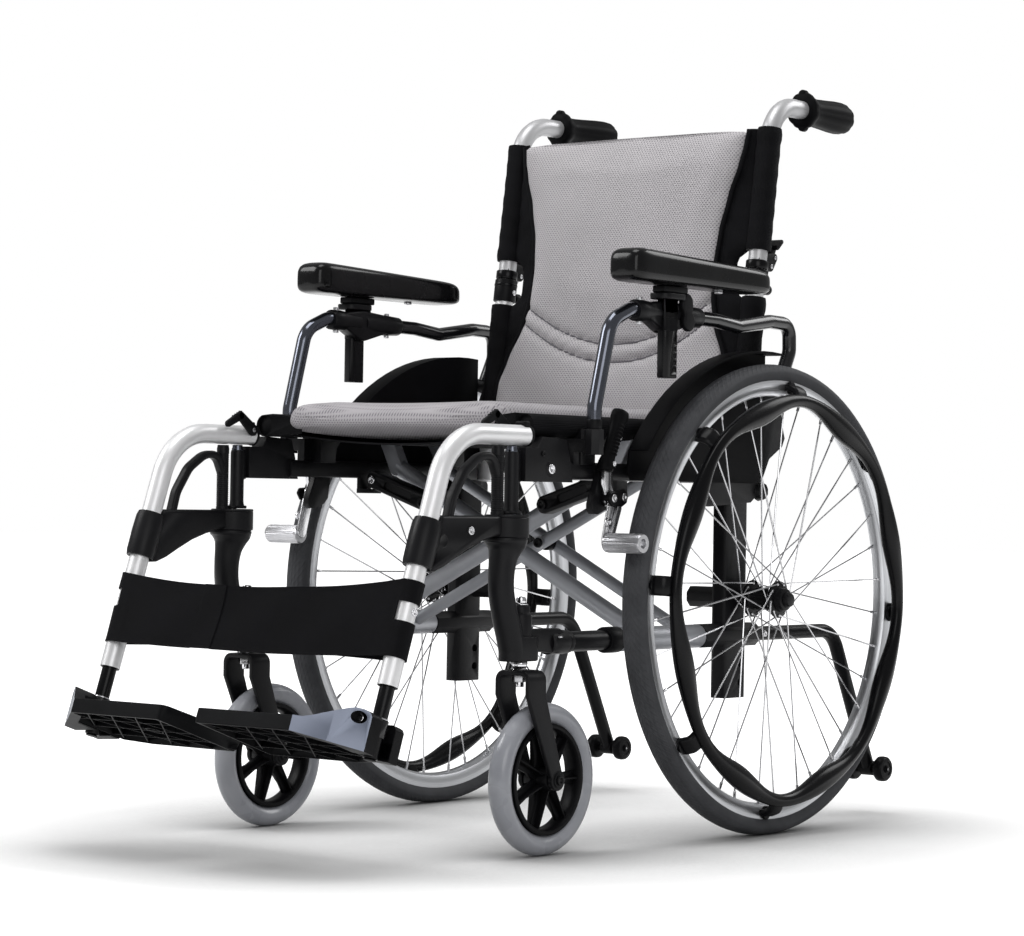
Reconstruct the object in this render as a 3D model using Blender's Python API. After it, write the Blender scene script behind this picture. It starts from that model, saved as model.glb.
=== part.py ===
# Lightweight folding wheelchair, built from its separate sub-parts.
# Metres, +Z up, facing -Y, the user's left at +X. Y is drawn from the rear axle, and one parent
# empty then sets the chair over the middle of its footprint.
# Most pieces are drawn for the left side and mirrored for the right.

from math import acos, asin, cos, degrees, pi, radians, sin, sqrt, tan

import bmesh
import bpy
from mathutils import Matrix, Vector

FIT = 0.0003
RUN = 0.0008

# Sides of round pieces: plain ones, and those that turn in each other
ROUND = 8
TURNING = 10

# Side frame
SIDE_X = 0.226
LOWER_Z = 0.257
TUBE_R = 0.0125
RAIL_X = 0.2146
SEAT_Z = 0.519
RAIL_FRONT_Y = -0.430
RAIL_BACK_Y = 0.004
BAR_Z = 0.465
BAR_HEIGHT = 0.022
BAR_WIDTH = 0.018
LOWER_FRONT_Y = -0.366
CASTING_FRONT_Y = -0.083
CASTING_BACK_Y = 0.040
PLATE_THICK = 0.024
PLATE_DEPTH = 0.050
PLATE_BOTTOM_Z = 0.175

# Rear wheel
WHEEL_R = 0.305
WHEEL_X = 0.2806
TYRE_WIDTH = 0.034
TYRE_DEPTH = 0.022
RIM_DEPTH = 0.015
RIM_WIDTH = 0.024
SPOKES = 16
SPOKE_R = 0.0011
FLANGE_R = 0.024
HUB_IN_X = 0.249
HUB_OUT_X = 0.308
AXLE_R = 0.0062
AXLE_IN_X = 0.158
AXLE_HEAD = 0.006
HANDRIM_DROP = 0.051
HANDRIM_X = 0.3160
HANDRIM_THICK = 0.0095
HANDRIM_LOBE = 0.003
HANDRIM_TABS = 6
WHEEL_STEPS = 30

# Caster
CASTER_R = 0.0924
CASTER_Y = -0.4043
STEM_Y = -0.449
CASTER_HALF = 0.0145
FORK_LEG_X = 0.0230
FORK_LEG_THICK = 0.007
FORK_TOP_Z = 0.2257
HOUSING_BOTTOM_Z = 0.236
HOUSING_TOP_Z = 0.298
STEM_R = 0.0063
CASTER_AXLE_R = 0.004
CASTER_RIBS = 6

# Front post and swing-away hanger
PIVOT_Y = -0.479
RING_R = 0.027
RING_BOTTOM_Z = 0.384
RING_TOP_Z = 0.411
PIVOT_R = 0.006
REAR_RIB_Y = -0.471
FRONT_RIB_Y = -0.4975
HANGER_R = 0.0125
HANGER_Z = 0.506
HANGER_END_Y = -0.447
HANGER_CORNER_Y = -0.5879
HANGER_BEND_R = 0.078
HANGER_LEAN = radians(19.2)
HANGER_LOW_Z = 0.2146
CLAMP_LOW_Z = 0.355
CLAMP_HIGH_Z = 0.402

# Footrest
STEM_TUBE_R = 0.0092
FOOT_Z = 0.1515
FLIP_N = 0.020
PLATE_INNER_X = 0.0185
PLATE_BEVEL = 0.012
PLATE_TOE = 0.0885
PLATE_HEEL = 0.047
PLATE_HIGH = 0.0045
PLATE_LOW = -0.0135
CHEEK_START_X = 0.1765
CHEEK_END_X = 0.243
CHEEK_END_U = 0.032
EAR_BACK = -0.028
SLOT_X = 0.2105
FLIP_PIN_R = 0.004
SLOT_HALF = 0.0123
SWIVEL_R = 0.0113

# Cross brace
BRACE_ANGLE = radians(27.0)
BRACE_FRONT_Y = -0.195
BRACE_REAR_Y = -0.100
BRACE_STEP = 0.023
BRACE_TUBE = 0.018
BRACE_TALL = 0.024
BAR_TUBE = 0.012
BAR_TALL = 0.017
SLEEVE_R = 0.0150
LINK_R = 0.0117
LINK_AT = 0.1122
LINK_END_X = 0.190
LINK_END_Z = 0.452
LINK_THICK = 0.022

# Back
BACK_LEAN = 0.14
BACK_Y = 0.060
BACK_REF_Z = 0.760
POST_X = 0.2135
HINGE_Z = 0.745
HINGE_BACK = 0.020
CANE_GAP_Z = 0.7395
CANE_TOP_Z = 0.972
GRIP_START_Y = 0.178
GRIP_END_Y = 0.293
GRIP_Z = 0.972
GRIP_R = 0.0185
GRIP_IN = 0.010
SLEEVE_COVER_R = 0.0165
COVER_TOP_Z = 0.930
COVER_JOIN_Z = 0.736
SLEEVE_UP_LOW_Z = 0.765
SLEEVE_LOW_TOP_Z = 0.702
COVER_LOW_Z = 0.560
COVER_SEAM_Z = 0.672

# Armrest
ARM_X = 0.253
ARM_R = 0.0092
ARM_FOOT_AHEAD = 0.0407
ARM_FOOT_Z = 0.5165
ARM_PIVOT_Y = 0.060
ARM_PIVOT_Z = 0.590
POST_Y = -0.2096
POST_ARM_X = 0.262
PAD_X = 0.262
PAD_WIDTH = 0.052
PAD_FRONT_Y = -0.307
PAD_BACK_Y = -0.008
PAD_THICK = 0.0425
PAD_SLOPE = 0.012
ARM_RISE = 0.0625
ARM_CLAMP_TALL = 0.058
ARM_HEAD_THICK = 0.0095
ARM_POST_DOWN = 0.106

# Brake, guard and anti-tipper
BRAKE_Z = 0.432
BRAKE_X = 0.2398
ROLLER_GAP = 0.00927
ROLLER_AHEAD = 0.013
ROLLER_Z = 0.378
ROLLER_R = 0.012
GUARD_X = 0.243
GUARD_GAP = 0.0175
FENDER_OUT_X = 0.272
TIP_R = 0.0095
TIP_CORNER_Y = 0.235
TIP_Y = 0.333
TIP_Z = 0.063
TIP_WHEEL_R = 0.0175
TIP_WHEEL_X = 0.024

# Soft parts
SEAT_FRONT_Y = -0.440
SEAT_BACK_Y = -0.003
SEAT_HALF = 0.180
SEAT_TOP_Z = 0.550
STRAP_TOP_Z = 0.332
STRAP_LOW_Z = 0.248
STRAP_THICK = 0.0026
SEAT_COLUMNS = 12
SEAT_ROWS = 6
COVER_COLUMNS = 10
COVER_ROWS = 5

# Worked out from the driving dimensions
AXLE_Z = WHEEL_R
GUARD_R = WHEEL_R + GUARD_GAP
ARM_CLAMP_TOP_Z = 2 * WHEEL_R + GUARD_GAP + ARM_RISE
HANDRIM_R = WHEEL_R - HANDRIM_DROP
ROLLER_Y = -sqrt((WHEEL_R + ROLLER_R + ROLLER_GAP) ** 2 - (ROLLER_Z - AXLE_Z) ** 2)
BRAKE_Y = ROLLER_Y + ROLLER_AHEAD
ARM_FOOT_Y = BRAKE_Y - ARM_FOOT_AHEAD
ARM_BAR_Z = ARM_CLAMP_TOP_Z - 0.0235
PAD_BOTTOM_Z = ARM_CLAMP_TOP_Z + ARM_HEAD_THICK
PAD_TOP_Z = PAD_BOTTOM_Z + PAD_THICK
PLATE_Y = -0.012
PLATE_TOP_Z = BAR_Z - BAR_HEIGHT / 2 - FIT
BAR_IN_X = 0.211
BAR_OUT_X = BAR_IN_X + BAR_WIDTH
BRACE_R = SIDE_X / cos(BRACE_ANGLE)
CROSS_Z = LOWER_Z + BRACE_R * sin(BRACE_ANGLE)
TUBE_DOWN = Vector((0, -sin(HANGER_LEAN), -cos(HANGER_LEAN)))
PLATE_TOEWARD = Vector((0, -cos(HANGER_LEAN), sin(HANGER_LEAN)))
PLATE_UP = -TUBE_DOWN


def lean_y(z):
    # Middle of the back post or cane at height z.
    return BACK_Y + BACK_LEAN * (z - BACK_REF_Z)


def hanger_y(z):
    # Middle of the straight, leaning stretch of the hanger tube at height z.
    return HANGER_CORNER_Y - (HANGER_Z - z) * tan(HANGER_LEAN)


FOOT = Vector((0, hanger_y(FOOT_Z), FOOT_Z))
TOE_Y = FOOT.y + PLATE_TOEWARD.y * PLATE_TOE + sin(HANGER_LEAN) * PLATE_LOW
CHAIR_Y = -(TOE_Y + TIP_Y + TIP_WHEEL_R) / 2


def clear_scene():
    for item in list(bpy.data.objects):
        bpy.data.objects.remove(item, do_unlink=True)


def material(name, color, roughness, metallic=0.0):
    mat = bpy.data.materials.new(name)
    mat.use_nodes = True
    shader = mat.node_tree.nodes["Principled BSDF"]
    shader.inputs["Base Color"].default_value = (*color, 1)
    shader.inputs["Roughness"].default_value = roughness
    shader.inputs["Metallic"].default_value = metallic
    return mat


# Shape makers. Each returns a mesh object in world coordinates.

def solid(bm):
    bmesh.ops.recalc_face_normals(bm, faces=bm.faces)
    mesh = bpy.data.meshes.new("shape")
    bm.to_mesh(mesh)
    bm.free()
    item = bpy.data.objects.new("shape", mesh)
    bpy.context.collection.objects.link(item)
    return item


def skin(rings, closed=False):
    # A body over a run of rings that have the same number of points.
    bm = bmesh.new()
    rows = [[bm.verts.new(p) for p in ring] for ring in rings]
    pairs = list(zip(rows, rows[1:]))
    if closed:
        pairs.append((rows[-1], rows[0]))
    count = len(rows[0])
    for a, b in pairs:
        for i in range(count):
            j = (i + 1) % count
            bm.faces.new((a[i], a[j], b[j], b[i]))
    if not closed:
        bm.faces.new(rows[0])
        bm.faces.new(reversed(rows[-1]))
    return solid(bm)


def oval(wide, tall, sides, turn=0.5):
    return [(wide * cos(2 * pi * (i + turn) / sides), tall * sin(2 * pi * (i + turn) / sides))
            for i in range(sides)]


def rounded_box(wide, tall, corner, steps=2):
    # Outline of a rectangle of half sizes wide and tall with rounded corners.
    points = []
    for quarter, (sx, sy) in enumerate(((1, 1), (-1, 1), (-1, -1), (1, -1))):
        for i in range(steps + 1):
            a = (quarter + i / steps) * pi / 2
            points.append((sx * (wide - corner) + corner * cos(a), sy * (tall - corner) + corner * sin(a)))
    return points


def sweep(path, section, side=None, closed=False):
    # One section, or a list with one for each point, carried along a path. side is the section's
    # first direction.
    path = [Vector(p) for p in path]
    count = len(path)
    rings = []
    first = Vector(side) if side else None
    for i, point in enumerate(path):
        before = path[(i - 1) % count] if closed or i else point
        after = path[(i + 1) % count] if closed or i < count - 1 else point
        along = (after - before).normalized()
        if first is None:
            first = along.orthogonal()
        across = (first - along * first.dot(along)).normalized()
        if side is None:
            first = across
        up = along.cross(across)
        shape = section if isinstance(section[0], tuple) else section[i]
        rings.append([point + across * u + up * v for u, v in shape])
    return skin(rings, closed)


def rod(start, end, radius, sides=ROUND, end_radius=None):
    far = radius if end_radius is None else end_radius
    axis = Vector(end) - Vector(start)
    side = (0, 0, 1) if abs(axis.normalized().z) < 0.9 else (1, 0, 0)
    return sweep([start, end], [oval(radius, radius, sides), oval(far, far, sides)], side)


def bend(points, radius, steps=5):
    # The path through the points with each inner corner rounded to the radius.
    points = [Vector(p) for p in points]
    path = [points[0]]
    for before, corner, after in zip(points, points[1:], points[2:]):
        a = (before - corner).normalized()
        b = (after - corner).normalized()
        half = a.angle(b) / 2
        reach = min(radius / tan(half), 0.49 * (before - corner).length, 0.49 * (after - corner).length)
        turn_r = reach * tan(half)
        centre = corner + (a + b).normalized() * (turn_r / sin(half))
        start = (corner + a * reach - centre).normalized()
        end = (corner + b * reach - centre).normalized()
        for i in range(steps + 1):
            path.append(centre + start.slerp(end, i / steps) * turn_r)
    path.append(points[-1])
    return path


def tube(points, radius, bend_radius=0.03, sides=ROUND, steps=2):
    return sweep(bend(points, bend_radius, steps), oval(radius, radius, sides))


def turned(profile, origin, axis, steps=12, turn=0.0):
    # A profile of (radius, height along the axis) pairs turned about the axis. Where it starts or
    # ends on the axis, that end is flat.
    axis = Vector(axis).normalized()
    u = axis.orthogonal().normalized() if abs(axis.x) < 0.9 else Vector((0, 0, -1))
    v = axis.cross(u)
    origin = Vector(origin)
    bm = bmesh.new()
    rows = []
    for radius, height in profile:
        if radius == 0:
            rows.append([bm.verts.new(origin + axis * height)])
            continue
        rows.append([bm.verts.new(origin + axis * height + (u * cos(a) + v * sin(a)) * radius)
                     for a in (2 * pi * (i + turn) / steps for i in range(steps))])
    loop = list(zip(rows, rows[1:]))
    if len(rows[0]) > 1:
        loop.append((rows[-1], rows[0]))
    for a, b in loop:
        if len(a) == 1 and len(b) == 1:
            continue
        if len(a) == 1 or len(b) == 1:
            # A flat end is one face, with no point at its middle.
            bm.faces.new(a if len(b) == 1 else b)
            continue
        for i in range(steps):
            j = (i + 1) % steps
            bm.faces.new((a[i], a[j], b[j], b[i]))
    for row in rows:
        if len(row) == 1:
            bm.verts.remove(row[0])
    return solid(bm)


def prism(outline, axis, low, high):
    # An outline in the two other axes, in x, y, z order, carried from low to high along the axis.
    def place(point, height):
        rest = list(point)
        rest.insert("xyz".index(axis), height)
        return rest
    return skin([[place(p, low) for p in outline], [place(p, high) for p in outline]])


def box(low, high):
    (x0, y0, z0), (x1, y1, z1) = low, high
    return prism([(x0, y0), (x1, y0), (x1, y1), (x0, y1)], "z", z0, z1)


def hull(circles, steps=2):
    # Convex outline round a list of circles given as (u, v, radius).
    points = []
    for u, v, r in circles:
        count = 4 * steps
        points += [(u + r * cos(2 * pi * (i + 0.5) / count), v + r * sin(2 * pi * (i + 0.5) / count))
                   for i in range(count)]
    points.sort()

    def half(run):
        chain = []
        for p in run:
            while len(chain) > 1 and ((chain[-1][0] - chain[-2][0]) * (p[1] - chain[-2][1])
                                      - (chain[-1][1] - chain[-2][1]) * (p[0] - chain[-2][0])) <= 0:
                chain.pop()
            chain.append(p)
        return chain[:-1]
    return half(points) + half(points[::-1])


def arc(centre, radius, start, end, steps):
    # Points on a circle between two angles in degrees.
    return [(centre[0] + radius * cos(radians(start + (end - start) * i / steps)),
             centre[1] + radius * sin(radians(start + (end - start) * i / steps))) for i in range(steps + 1)]


def boolean(base, others, operation):
    for other in others:
        tool = base.modifiers.new(operation.lower(), "BOOLEAN")
        tool.operation = operation
        tool.solver = "EXACT"
        tool.object = other
    mesh = bpy.data.meshes.new_from_object(base.evaluated_get(bpy.context.evaluated_depsgraph_get()))
    base.modifiers.clear()
    old = base.data
    base.data = mesh
    bpy.data.meshes.remove(old)
    for other in others:
        mesh = other.data
        bpy.data.objects.remove(other)
        bpy.data.meshes.remove(mesh)
    return base


def fused(solids, cuts=()):
    base = solids[0]
    if len(solids) > 1:
        boolean(base, solids[1:], "UNION")
    if cuts:
        boolean(base, list(cuts), "DIFFERENCE")
    return base


def joined(solids):
    # Several bodies in one mesh, for use as one cutter.
    bm = bmesh.new()
    for item in solids:
        bm.from_mesh(item.data)
        mesh = item.data
        bpy.data.objects.remove(item)
        bpy.data.meshes.remove(mesh)
    return solid(bm)


def node(name, item, mat, pivot=(0, 0, 0), sharp=35):
    # Names a finished solid, sets its origin on its joint's axis and gives it its material.
    item.name = name
    item.data.name = name
    item.data.transform(Matrix.Translation(-Vector(pivot)))
    item.location = pivot
    item.parent = CHAIR
    item.data.materials.clear()
    item.data.materials.append(mat)
    item.data.shade_smooth()
    item.data.set_sharp_from_angle(angle=radians(sharp))
    return item


def pair(name, item, mat, pivot=(0, 0, 0)):
    # The left node and its mirror image on the right.
    left = node(name + "_left", item, mat, pivot)
    mesh = left.data.copy()
    mesh.transform(Matrix.Scale(-1, 4, (1, 0, 0)))
    mesh.flip_normals()
    right = bpy.data.objects.new(name + "_right", mesh)
    mesh.name = right.name
    bpy.context.collection.objects.link(right)
    right.location = (-pivot[0], pivot[1], pivot[2])
    right.parent = CHAIR
    return left


def at_side(*points):
    # Points in the side frame's plane given as (y, z).
    return [(SIDE_X, y, z) for y, z in points]


# Side frame

def front_post():
    leg_path = at_side((-0.481, 0.3837), (-0.481, 0.374), (-0.4868, 0.356), (-0.488, 0.325),
                       (-0.480, 0.293), (-0.469, 0.266), (-0.463, 0.240))
    leg_r = (0.0265, 0.0225, 0.0165, 0.0155, 0.0160, 0.0165, 0.0165)
    leg = sweep(leg_path, [oval(r, r, TURNING) for r in leg_r], (1, 0, 0))
    base = prism([(SIDE_X + u, v) for u, v in hull([(0, -0.4655, 0.0162), (0, -0.4390, 0.0162)])],
                 "z", HOUSING_BOTTOM_Z, 0.266)
    housing = turned([(0, HOUSING_BOTTOM_Z + 0.001), (0.0125, HOUSING_BOTTOM_Z + 0.001),
                      (0.0125, HOUSING_TOP_Z), (0.0105, HOUSING_TOP_Z + 0.002),
                      (0.0105, HOUSING_TOP_Z + 0.009), (0.006, HOUSING_TOP_Z + 0.015),
                      (0, HOUSING_TOP_Z + 0.015)], (SIDE_X, STEM_Y, 0), (0, 0, 1), 12)
    ear = prism(hull([(-0.440, LOWER_Z + 0.004, 0.013), (-0.387, LOWER_Z + 0.002, 0.0152)]),
                "x", SIDE_X - 0.010, SIDE_X + 0.010)
    seat = rod((SIDE_X, -0.395, LOWER_Z), (SIDE_X, LOWER_FRONT_Y - FIT, LOWER_Z), 0.0148)
    ear_bolt = rod((SIDE_X, -0.387, LOWER_Z + 0.002), (SIDE_X + 0.0125, -0.387, LOWER_Z + 0.002), 0.0065)
    pin = rod((SIDE_X, PIVOT_Y, RING_BOTTOM_Z - 0.006), (SIDE_X, PIVOT_Y, RING_TOP_Z + 0.003), PIVOT_R,
              TURNING)
    cap = prism([(SIDE_X + u, v) for u, v in hull([(0, PIVOT_Y, 0.0093), (0, REAR_RIB_Y + 0.004, 0.010)])],
                "z", RING_TOP_Z + FIT, RING_TOP_Z + 0.0045)
    rib_top = HANGER_Z - HANGER_R - FIT
    rib = rod((SIDE_X, REAR_RIB_Y, RING_TOP_Z + 0.001), (SIDE_X, REAR_RIB_Y, rib_top), 0.0087)
    web = box((SIDE_X - 0.005, REAR_RIB_Y, BAR_Z - 0.010), (SIDE_X + 0.005, -0.4585 - FIT, rib_top - 0.004))
    bore = rod((SIDE_X, STEM_Y, HOUSING_BOTTOM_Z - 0.01), (SIDE_X, STEM_Y, HOUSING_TOP_Z - 0.008),
               STEM_R + RUN, TURNING)
    body = fused([leg, base, housing, ear, seat, ear_bolt, pin, cap, rib, web], [bore])
    pair("front_post", body, BLACK)


def upper_rail():
    low = BAR_Z - BAR_HEIGHT / 2
    high = BAR_Z + BAR_HEIGHT / 2
    bar = prism([(BAR_IN_X + BAR_WIDTH / 2 + u, BAR_Z + v)
                 for u, v in rounded_box(BAR_WIDTH / 2, BAR_HEIGHT / 2, 0.004)], "y", -0.385, -0.004)
    rail_low = SEAT_Z - TUBE_R
    under_hanger = HANGER_Z - HANGER_R - 0.002
    bracket = prism([(-0.4585, low - 0.003), (-0.4585, under_hanger), (-0.434, under_hanger),
                     (-0.424, rail_low - FIT - 0.001), (-0.379, rail_low - 0.004),
                     (-0.372, BAR_Z + 0.015), (-0.366, low - 0.003)],
                    "x", BAR_IN_X + 0.006, BAR_OUT_X + 0.008)
    parts = [bar, bracket]
    for front in (-0.343, -0.078):
        outline = [(RAIL_X - 0.0165, high - 0.003), (RAIL_X + 0.0165, high - 0.003),
                   (RAIL_X + 0.0165, SEAT_Z - 0.002), (RAIL_X - 0.0165, SEAT_Z - 0.002)]
        cradle = prism(outline, "y", front, front + 0.029)
        groove = rod((RAIL_X, front - 0.01, SEAT_Z), (RAIL_X, front + 0.04, SEAT_Z), TUBE_R + RUN, TURNING)
        parts.append(fused([cradle], [groove]))
    socket_z = ARM_FOOT_Z - FIT
    parts.append(rod((ARM_X, ARM_FOOT_Y, socket_z - 0.031), (ARM_X, ARM_FOOT_Y, socket_z), 0.0122))
    parts.append(box((BAR_IN_X + 0.006, ARM_FOOT_Y - 0.009, high - 0.004),
                     (BAR_OUT_X, ARM_FOOT_Y + 0.009, rail_low - 0.002)))
    parts.append(box((BAR_OUT_X - 0.004, ARM_FOOT_Y - 0.009, rail_low - 0.018),
                     (ARM_X, ARM_FOOT_Y + 0.009, rail_low - 0.002)))
    body_x = BRAKE_X - FIT
    foot = hull([(BRAKE_Y + 0.004, BRAKE_Z + 0.026, 0.014), (BRAKE_Y, BRAKE_Z, 0.014),
                 (BRAKE_Y - 0.016, BRAKE_Z - 0.010, 0.010)])
    parts.append(prism(foot, "x", BAR_OUT_X + 0.0015, body_x))
    parts.append(box((BAR_OUT_X - 0.003, BRAKE_Y - 0.008, low + 0.003),
                     (body_x, BRAKE_Y + 0.016, high - 0.003)))
    parts.append(rod((body_x - 0.004, BRAKE_Y, BRAKE_Z), (BRAKE_X + 0.0185, BRAKE_Y, BRAKE_Z), 0.004))
    parts.append(rod((BAR_OUT_X - 0.003, -0.235, BAR_Z), (GUARD_X - FIT, -0.235, BAR_Z), 0.007))
    shelf_front = BRACE_FRONT_Y - BRACE_STEP - BRACE_TUBE / 2 - RUN - LINK_THICK
    shelf_z = LINK_END_Z - LINK_R - FIT
    parts.append(box((LINK_END_X + 0.003, shelf_front, shelf_z - 0.006),
                     (BAR_IN_X + 0.0065, shelf_front + LINK_THICK, shelf_z)))
    parts.append(box((BAR_IN_X, shelf_front, shelf_z - 0.006),
                     (BAR_IN_X + 0.006, shelf_front + LINK_THICK, low + 0.005)))
    pair("upper_rail", fused(parts), BLACK)


def lower_rail():
    rail = rod((SIDE_X, LOWER_FRONT_Y, LOWER_Z), (SIDE_X, CASTING_FRONT_Y - FIT, LOWER_Z), TUBE_R, TURNING)
    collar = turned([(0.010, -0.283), (0.0148, -0.283), (0.0160, -0.280), (0.0160, -0.258),
                     (0.010, -0.258)], (SIDE_X, 0, LOWER_Z), (0, 1, 0), 12)
    pair("lower_rail", fused([rail, collar]), BLACK)


def axle_plate():
    in_x = SIDE_X - 0.001 - PLATE_THICK / 2
    out_x = in_x + PLATE_THICK
    front = PLATE_Y - PLATE_DEPTH / 2
    back = PLATE_Y + PLATE_DEPTH / 2
    mid = (in_x + out_x) / 2
    plate = prism([(mid + u, PLATE_Y + v) for u, v in rounded_box(PLATE_THICK / 2, PLATE_DEPTH / 2, 0.006)],
                  "z", PLATE_BOTTOM_Z, PLATE_TOP_Z)
    casting = rod((SIDE_X, CASTING_FRONT_Y, LOWER_Z), (SIDE_X, CASTING_BACK_Y, LOWER_Z), 0.0162)
    receiver = rod((AXLE_IN_X, 0, AXLE_Z), (mid, 0, AXLE_Z), 0.0145)
    spacer = rod((mid, 0, AXLE_Z), (HUB_IN_X - FIT, 0, AXLE_Z), 0.0118)
    head_x = HUB_OUT_X + FIT
    axle = rod((mid, 0, AXLE_Z), (head_x + AXLE_HEAD / 2, 0, AXLE_Z), AXLE_R, TURNING)
    axle_head = rod((head_x, 0, AXLE_Z), (head_x + AXLE_HEAD, 0, AXLE_Z), 0.0105, 12, 0.0085)
    gusset = prism([(-0.112, 0.431), (-0.080, 0.424), (0.016, 0.430), (0.030, 0.439), (0.058, 0.488),
                    (0.088, 0.505), (0.094, 0.516), (0.088, 0.532), (0.080, 0.590), (0.074, 0.604),
                    (0.050, 0.610), (0.026, 0.560), (0.004, 0.502), (-0.050, 0.472), (-0.104, 0.452)],
                   "x", SIDE_X + 0.007, SIDE_X + 0.012)
    gusset_x = SIDE_X + 0.012
    boss = rod((gusset_x - 0.002, -0.055, BAR_Z - 0.004), (GUARD_X - FIT, -0.055, BAR_Z - 0.004), 0.006)
    knob = turned([(0, -0.003), (0.013, -0.003), (0.011, 0.006), (0, 0.006)], (gusset_x, 0.037, 0.445),
                  (1, 0, 0), 10)
    pin = rod((gusset_x - 0.003, ARM_PIVOT_Y, ARM_PIVOT_Z), (ARM_X + 0.006, ARM_PIVOT_Y, ARM_PIVOT_Z), 0.005)
    head = rod((ARM_X + 0.0053, ARM_PIVOT_Y, ARM_PIVOT_Z), (ARM_X + 0.008, ARM_PIVOT_Y, ARM_PIVOT_Z), 0.0075)
    holes = []
    rear_row = back - 0.014
    for i in range(4):
        z = PLATE_BOTTOM_Z + 0.020 + 0.025 * i
        if abs(z - LOWER_Z) > 0.022:
            holes.append(rod((in_x - 0.01, rear_row, z), (out_x + 0.01, rear_row, z), 0.0055, 8))
    tip_bore = rod((SIDE_X, 0.008, LOWER_Z), (SIDE_X, CASTING_BACK_Y + 0.01, LOWER_Z), TIP_R + RUN, TURNING)
    body = fused([plate, casting, receiver, spacer, axle, axle_head, gusset, boss, knob, pin, head],
                 holes + [tip_bore])
    pair("axle_plate", body, BLACK)


def along_back(z, x=POST_X, back=0.0):
    return (x, lean_y(z) + back, z)


def back_post():
    low = PLATE_TOP_Z + FIT + 0.0004
    hinge = (lean_y(HINGE_Z) + HINGE_BACK, HINGE_Z)
    post = sweep([along_back(low), along_back(CANE_GAP_Z - 0.004)], oval(TUBE_R, TUBE_R, TURNING), (1, 0, 0))
    collar = sweep([along_back(0.7075), along_back(CANE_GAP_Z - FIT)], oval(0.0158, 0.0158, TURNING),
                   (1, 0, 0))
    foot = box((POST_X, lean_y(0.52) - 0.009, 0.478), (SIDE_X + 0.007 - FIT, lean_y(0.52) + 0.009, 0.552))
    lug = prism(hull([(lean_y(0.722), 0.722, 0.012), (*hinge, 0.006)]), "x", POST_X - 0.004, POST_X + 0.004)
    pin = rod((POST_X - 0.0085, *hinge), (POST_X + 0.0085, *hinge), 0.003)
    knob = rod((POST_X, lean_y(0.714), 0.714), (POST_X, 0.084, 0.714), 0.006, 8)
    pair("back_post", fused([post, collar, foot, lug, pin, knob]), SILVER)


def latch_pin():
    # Middle of the back latch's pivot, behind the cane's lugs.
    return (lean_y(0.757) + 0.0275, 0.757)


def back_cane():
    hinge = (lean_y(HINGE_Z) + HINGE_BACK, HINGE_Z)
    corner_y = lean_y(CANE_TOP_Z)
    path = bend([along_back(CANE_GAP_Z), (POST_X, corner_y, CANE_TOP_Z),
                 (POST_X - GRIP_IN, GRIP_END_Y - 0.010, GRIP_Z - 0.006)], 0.049, 4)
    cane = sweep(path, oval(TUBE_R, TUBE_R, TURNING), (1, 0, 0))
    lugs = []
    for side in (-1, 1):
        inner = POST_X + side * (0.004 + FIT)
        outer = POST_X + side * 0.0088
        lugs.append(prism(hull([(lean_y(0.751), 0.751, 0.0095), (*hinge, 0.007), (*latch_pin(), 0.006)]),
                          "x", min(inner, outer), max(inner, outer)))
    pin = rod((POST_X - 0.006, *latch_pin()), (POST_X + 0.006, *latch_pin()), 0.0025)
    hole = rod((POST_X - 0.02, *hinge), (POST_X + 0.02, *hinge), 0.003 + RUN)
    clear = prism(hull([(lean_y(0.722), 0.722, 0.012 + RUN), (*hinge, 0.006 + RUN + 0.0006)]), "x",
                  POST_X - 0.004 - FIT, POST_X + 0.004 + FIT)
    pair("back_cane", fused([cane, *lugs, pin], [hole, clear]), SILVER, (POST_X, *hinge))


def push_grip():
    corner = Vector((POST_X, lean_y(CANE_TOP_Z), CANE_TOP_Z))
    tail = Vector((POST_X - GRIP_IN, GRIP_END_Y - 0.010, GRIP_Z - 0.006))
    slope = (tail - corner).normalized()
    first = corner + slope * ((GRIP_START_Y - corner.y) / slope.y)
    last = corner + slope * ((GRIP_END_Y - corner.y) / slope.y)
    span = (last - first).length
    profile = [(0, 0), (0.0235, 0), (0.0235, 0.007), (GRIP_R - 0.001, 0.014), (GRIP_R + 0.001, 0.060),
               (GRIP_R - 0.001, span - 0.006), (GRIP_R - 0.006, span), (0, span)]
    grip = turned(profile, first, slope, TURNING)
    bore = rod(first - slope * 0.01, tail + slope * FIT, TUBE_R + RUN, TURNING)
    pair("push_grip", fused([grip], [bore]), RUBBER)


def back_latch():
    y, z = latch_pin()
    lever = prism(hull([(y, z, 0.0048), (y + 0.003, z + 0.012, 0.0045), (y + 0.012, z + 0.021, 0.003)]), "x",
                  POST_X - 0.004, POST_X + 0.004)
    tab = prism(hull([(y + 0.004, z + 0.014, 0.004), (y + 0.014, z + 0.0225, 0.003)]), "x",
                POST_X - 0.011, POST_X + 0.011)
    hole = rod((POST_X - 0.02, y, z), (POST_X + 0.02, y, z), 0.0025 + RUN)
    clear = rod((POST_X - 0.02, y, z), (POST_X + 0.02, y, z), 0.0068, 12)
    body = fused([lever, boolean(tab, [clear], "DIFFERENCE")], [hole])
    pair("back_latch", body, BLACK, (POST_X, y, z))


# Armrest, guard and brake

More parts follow.
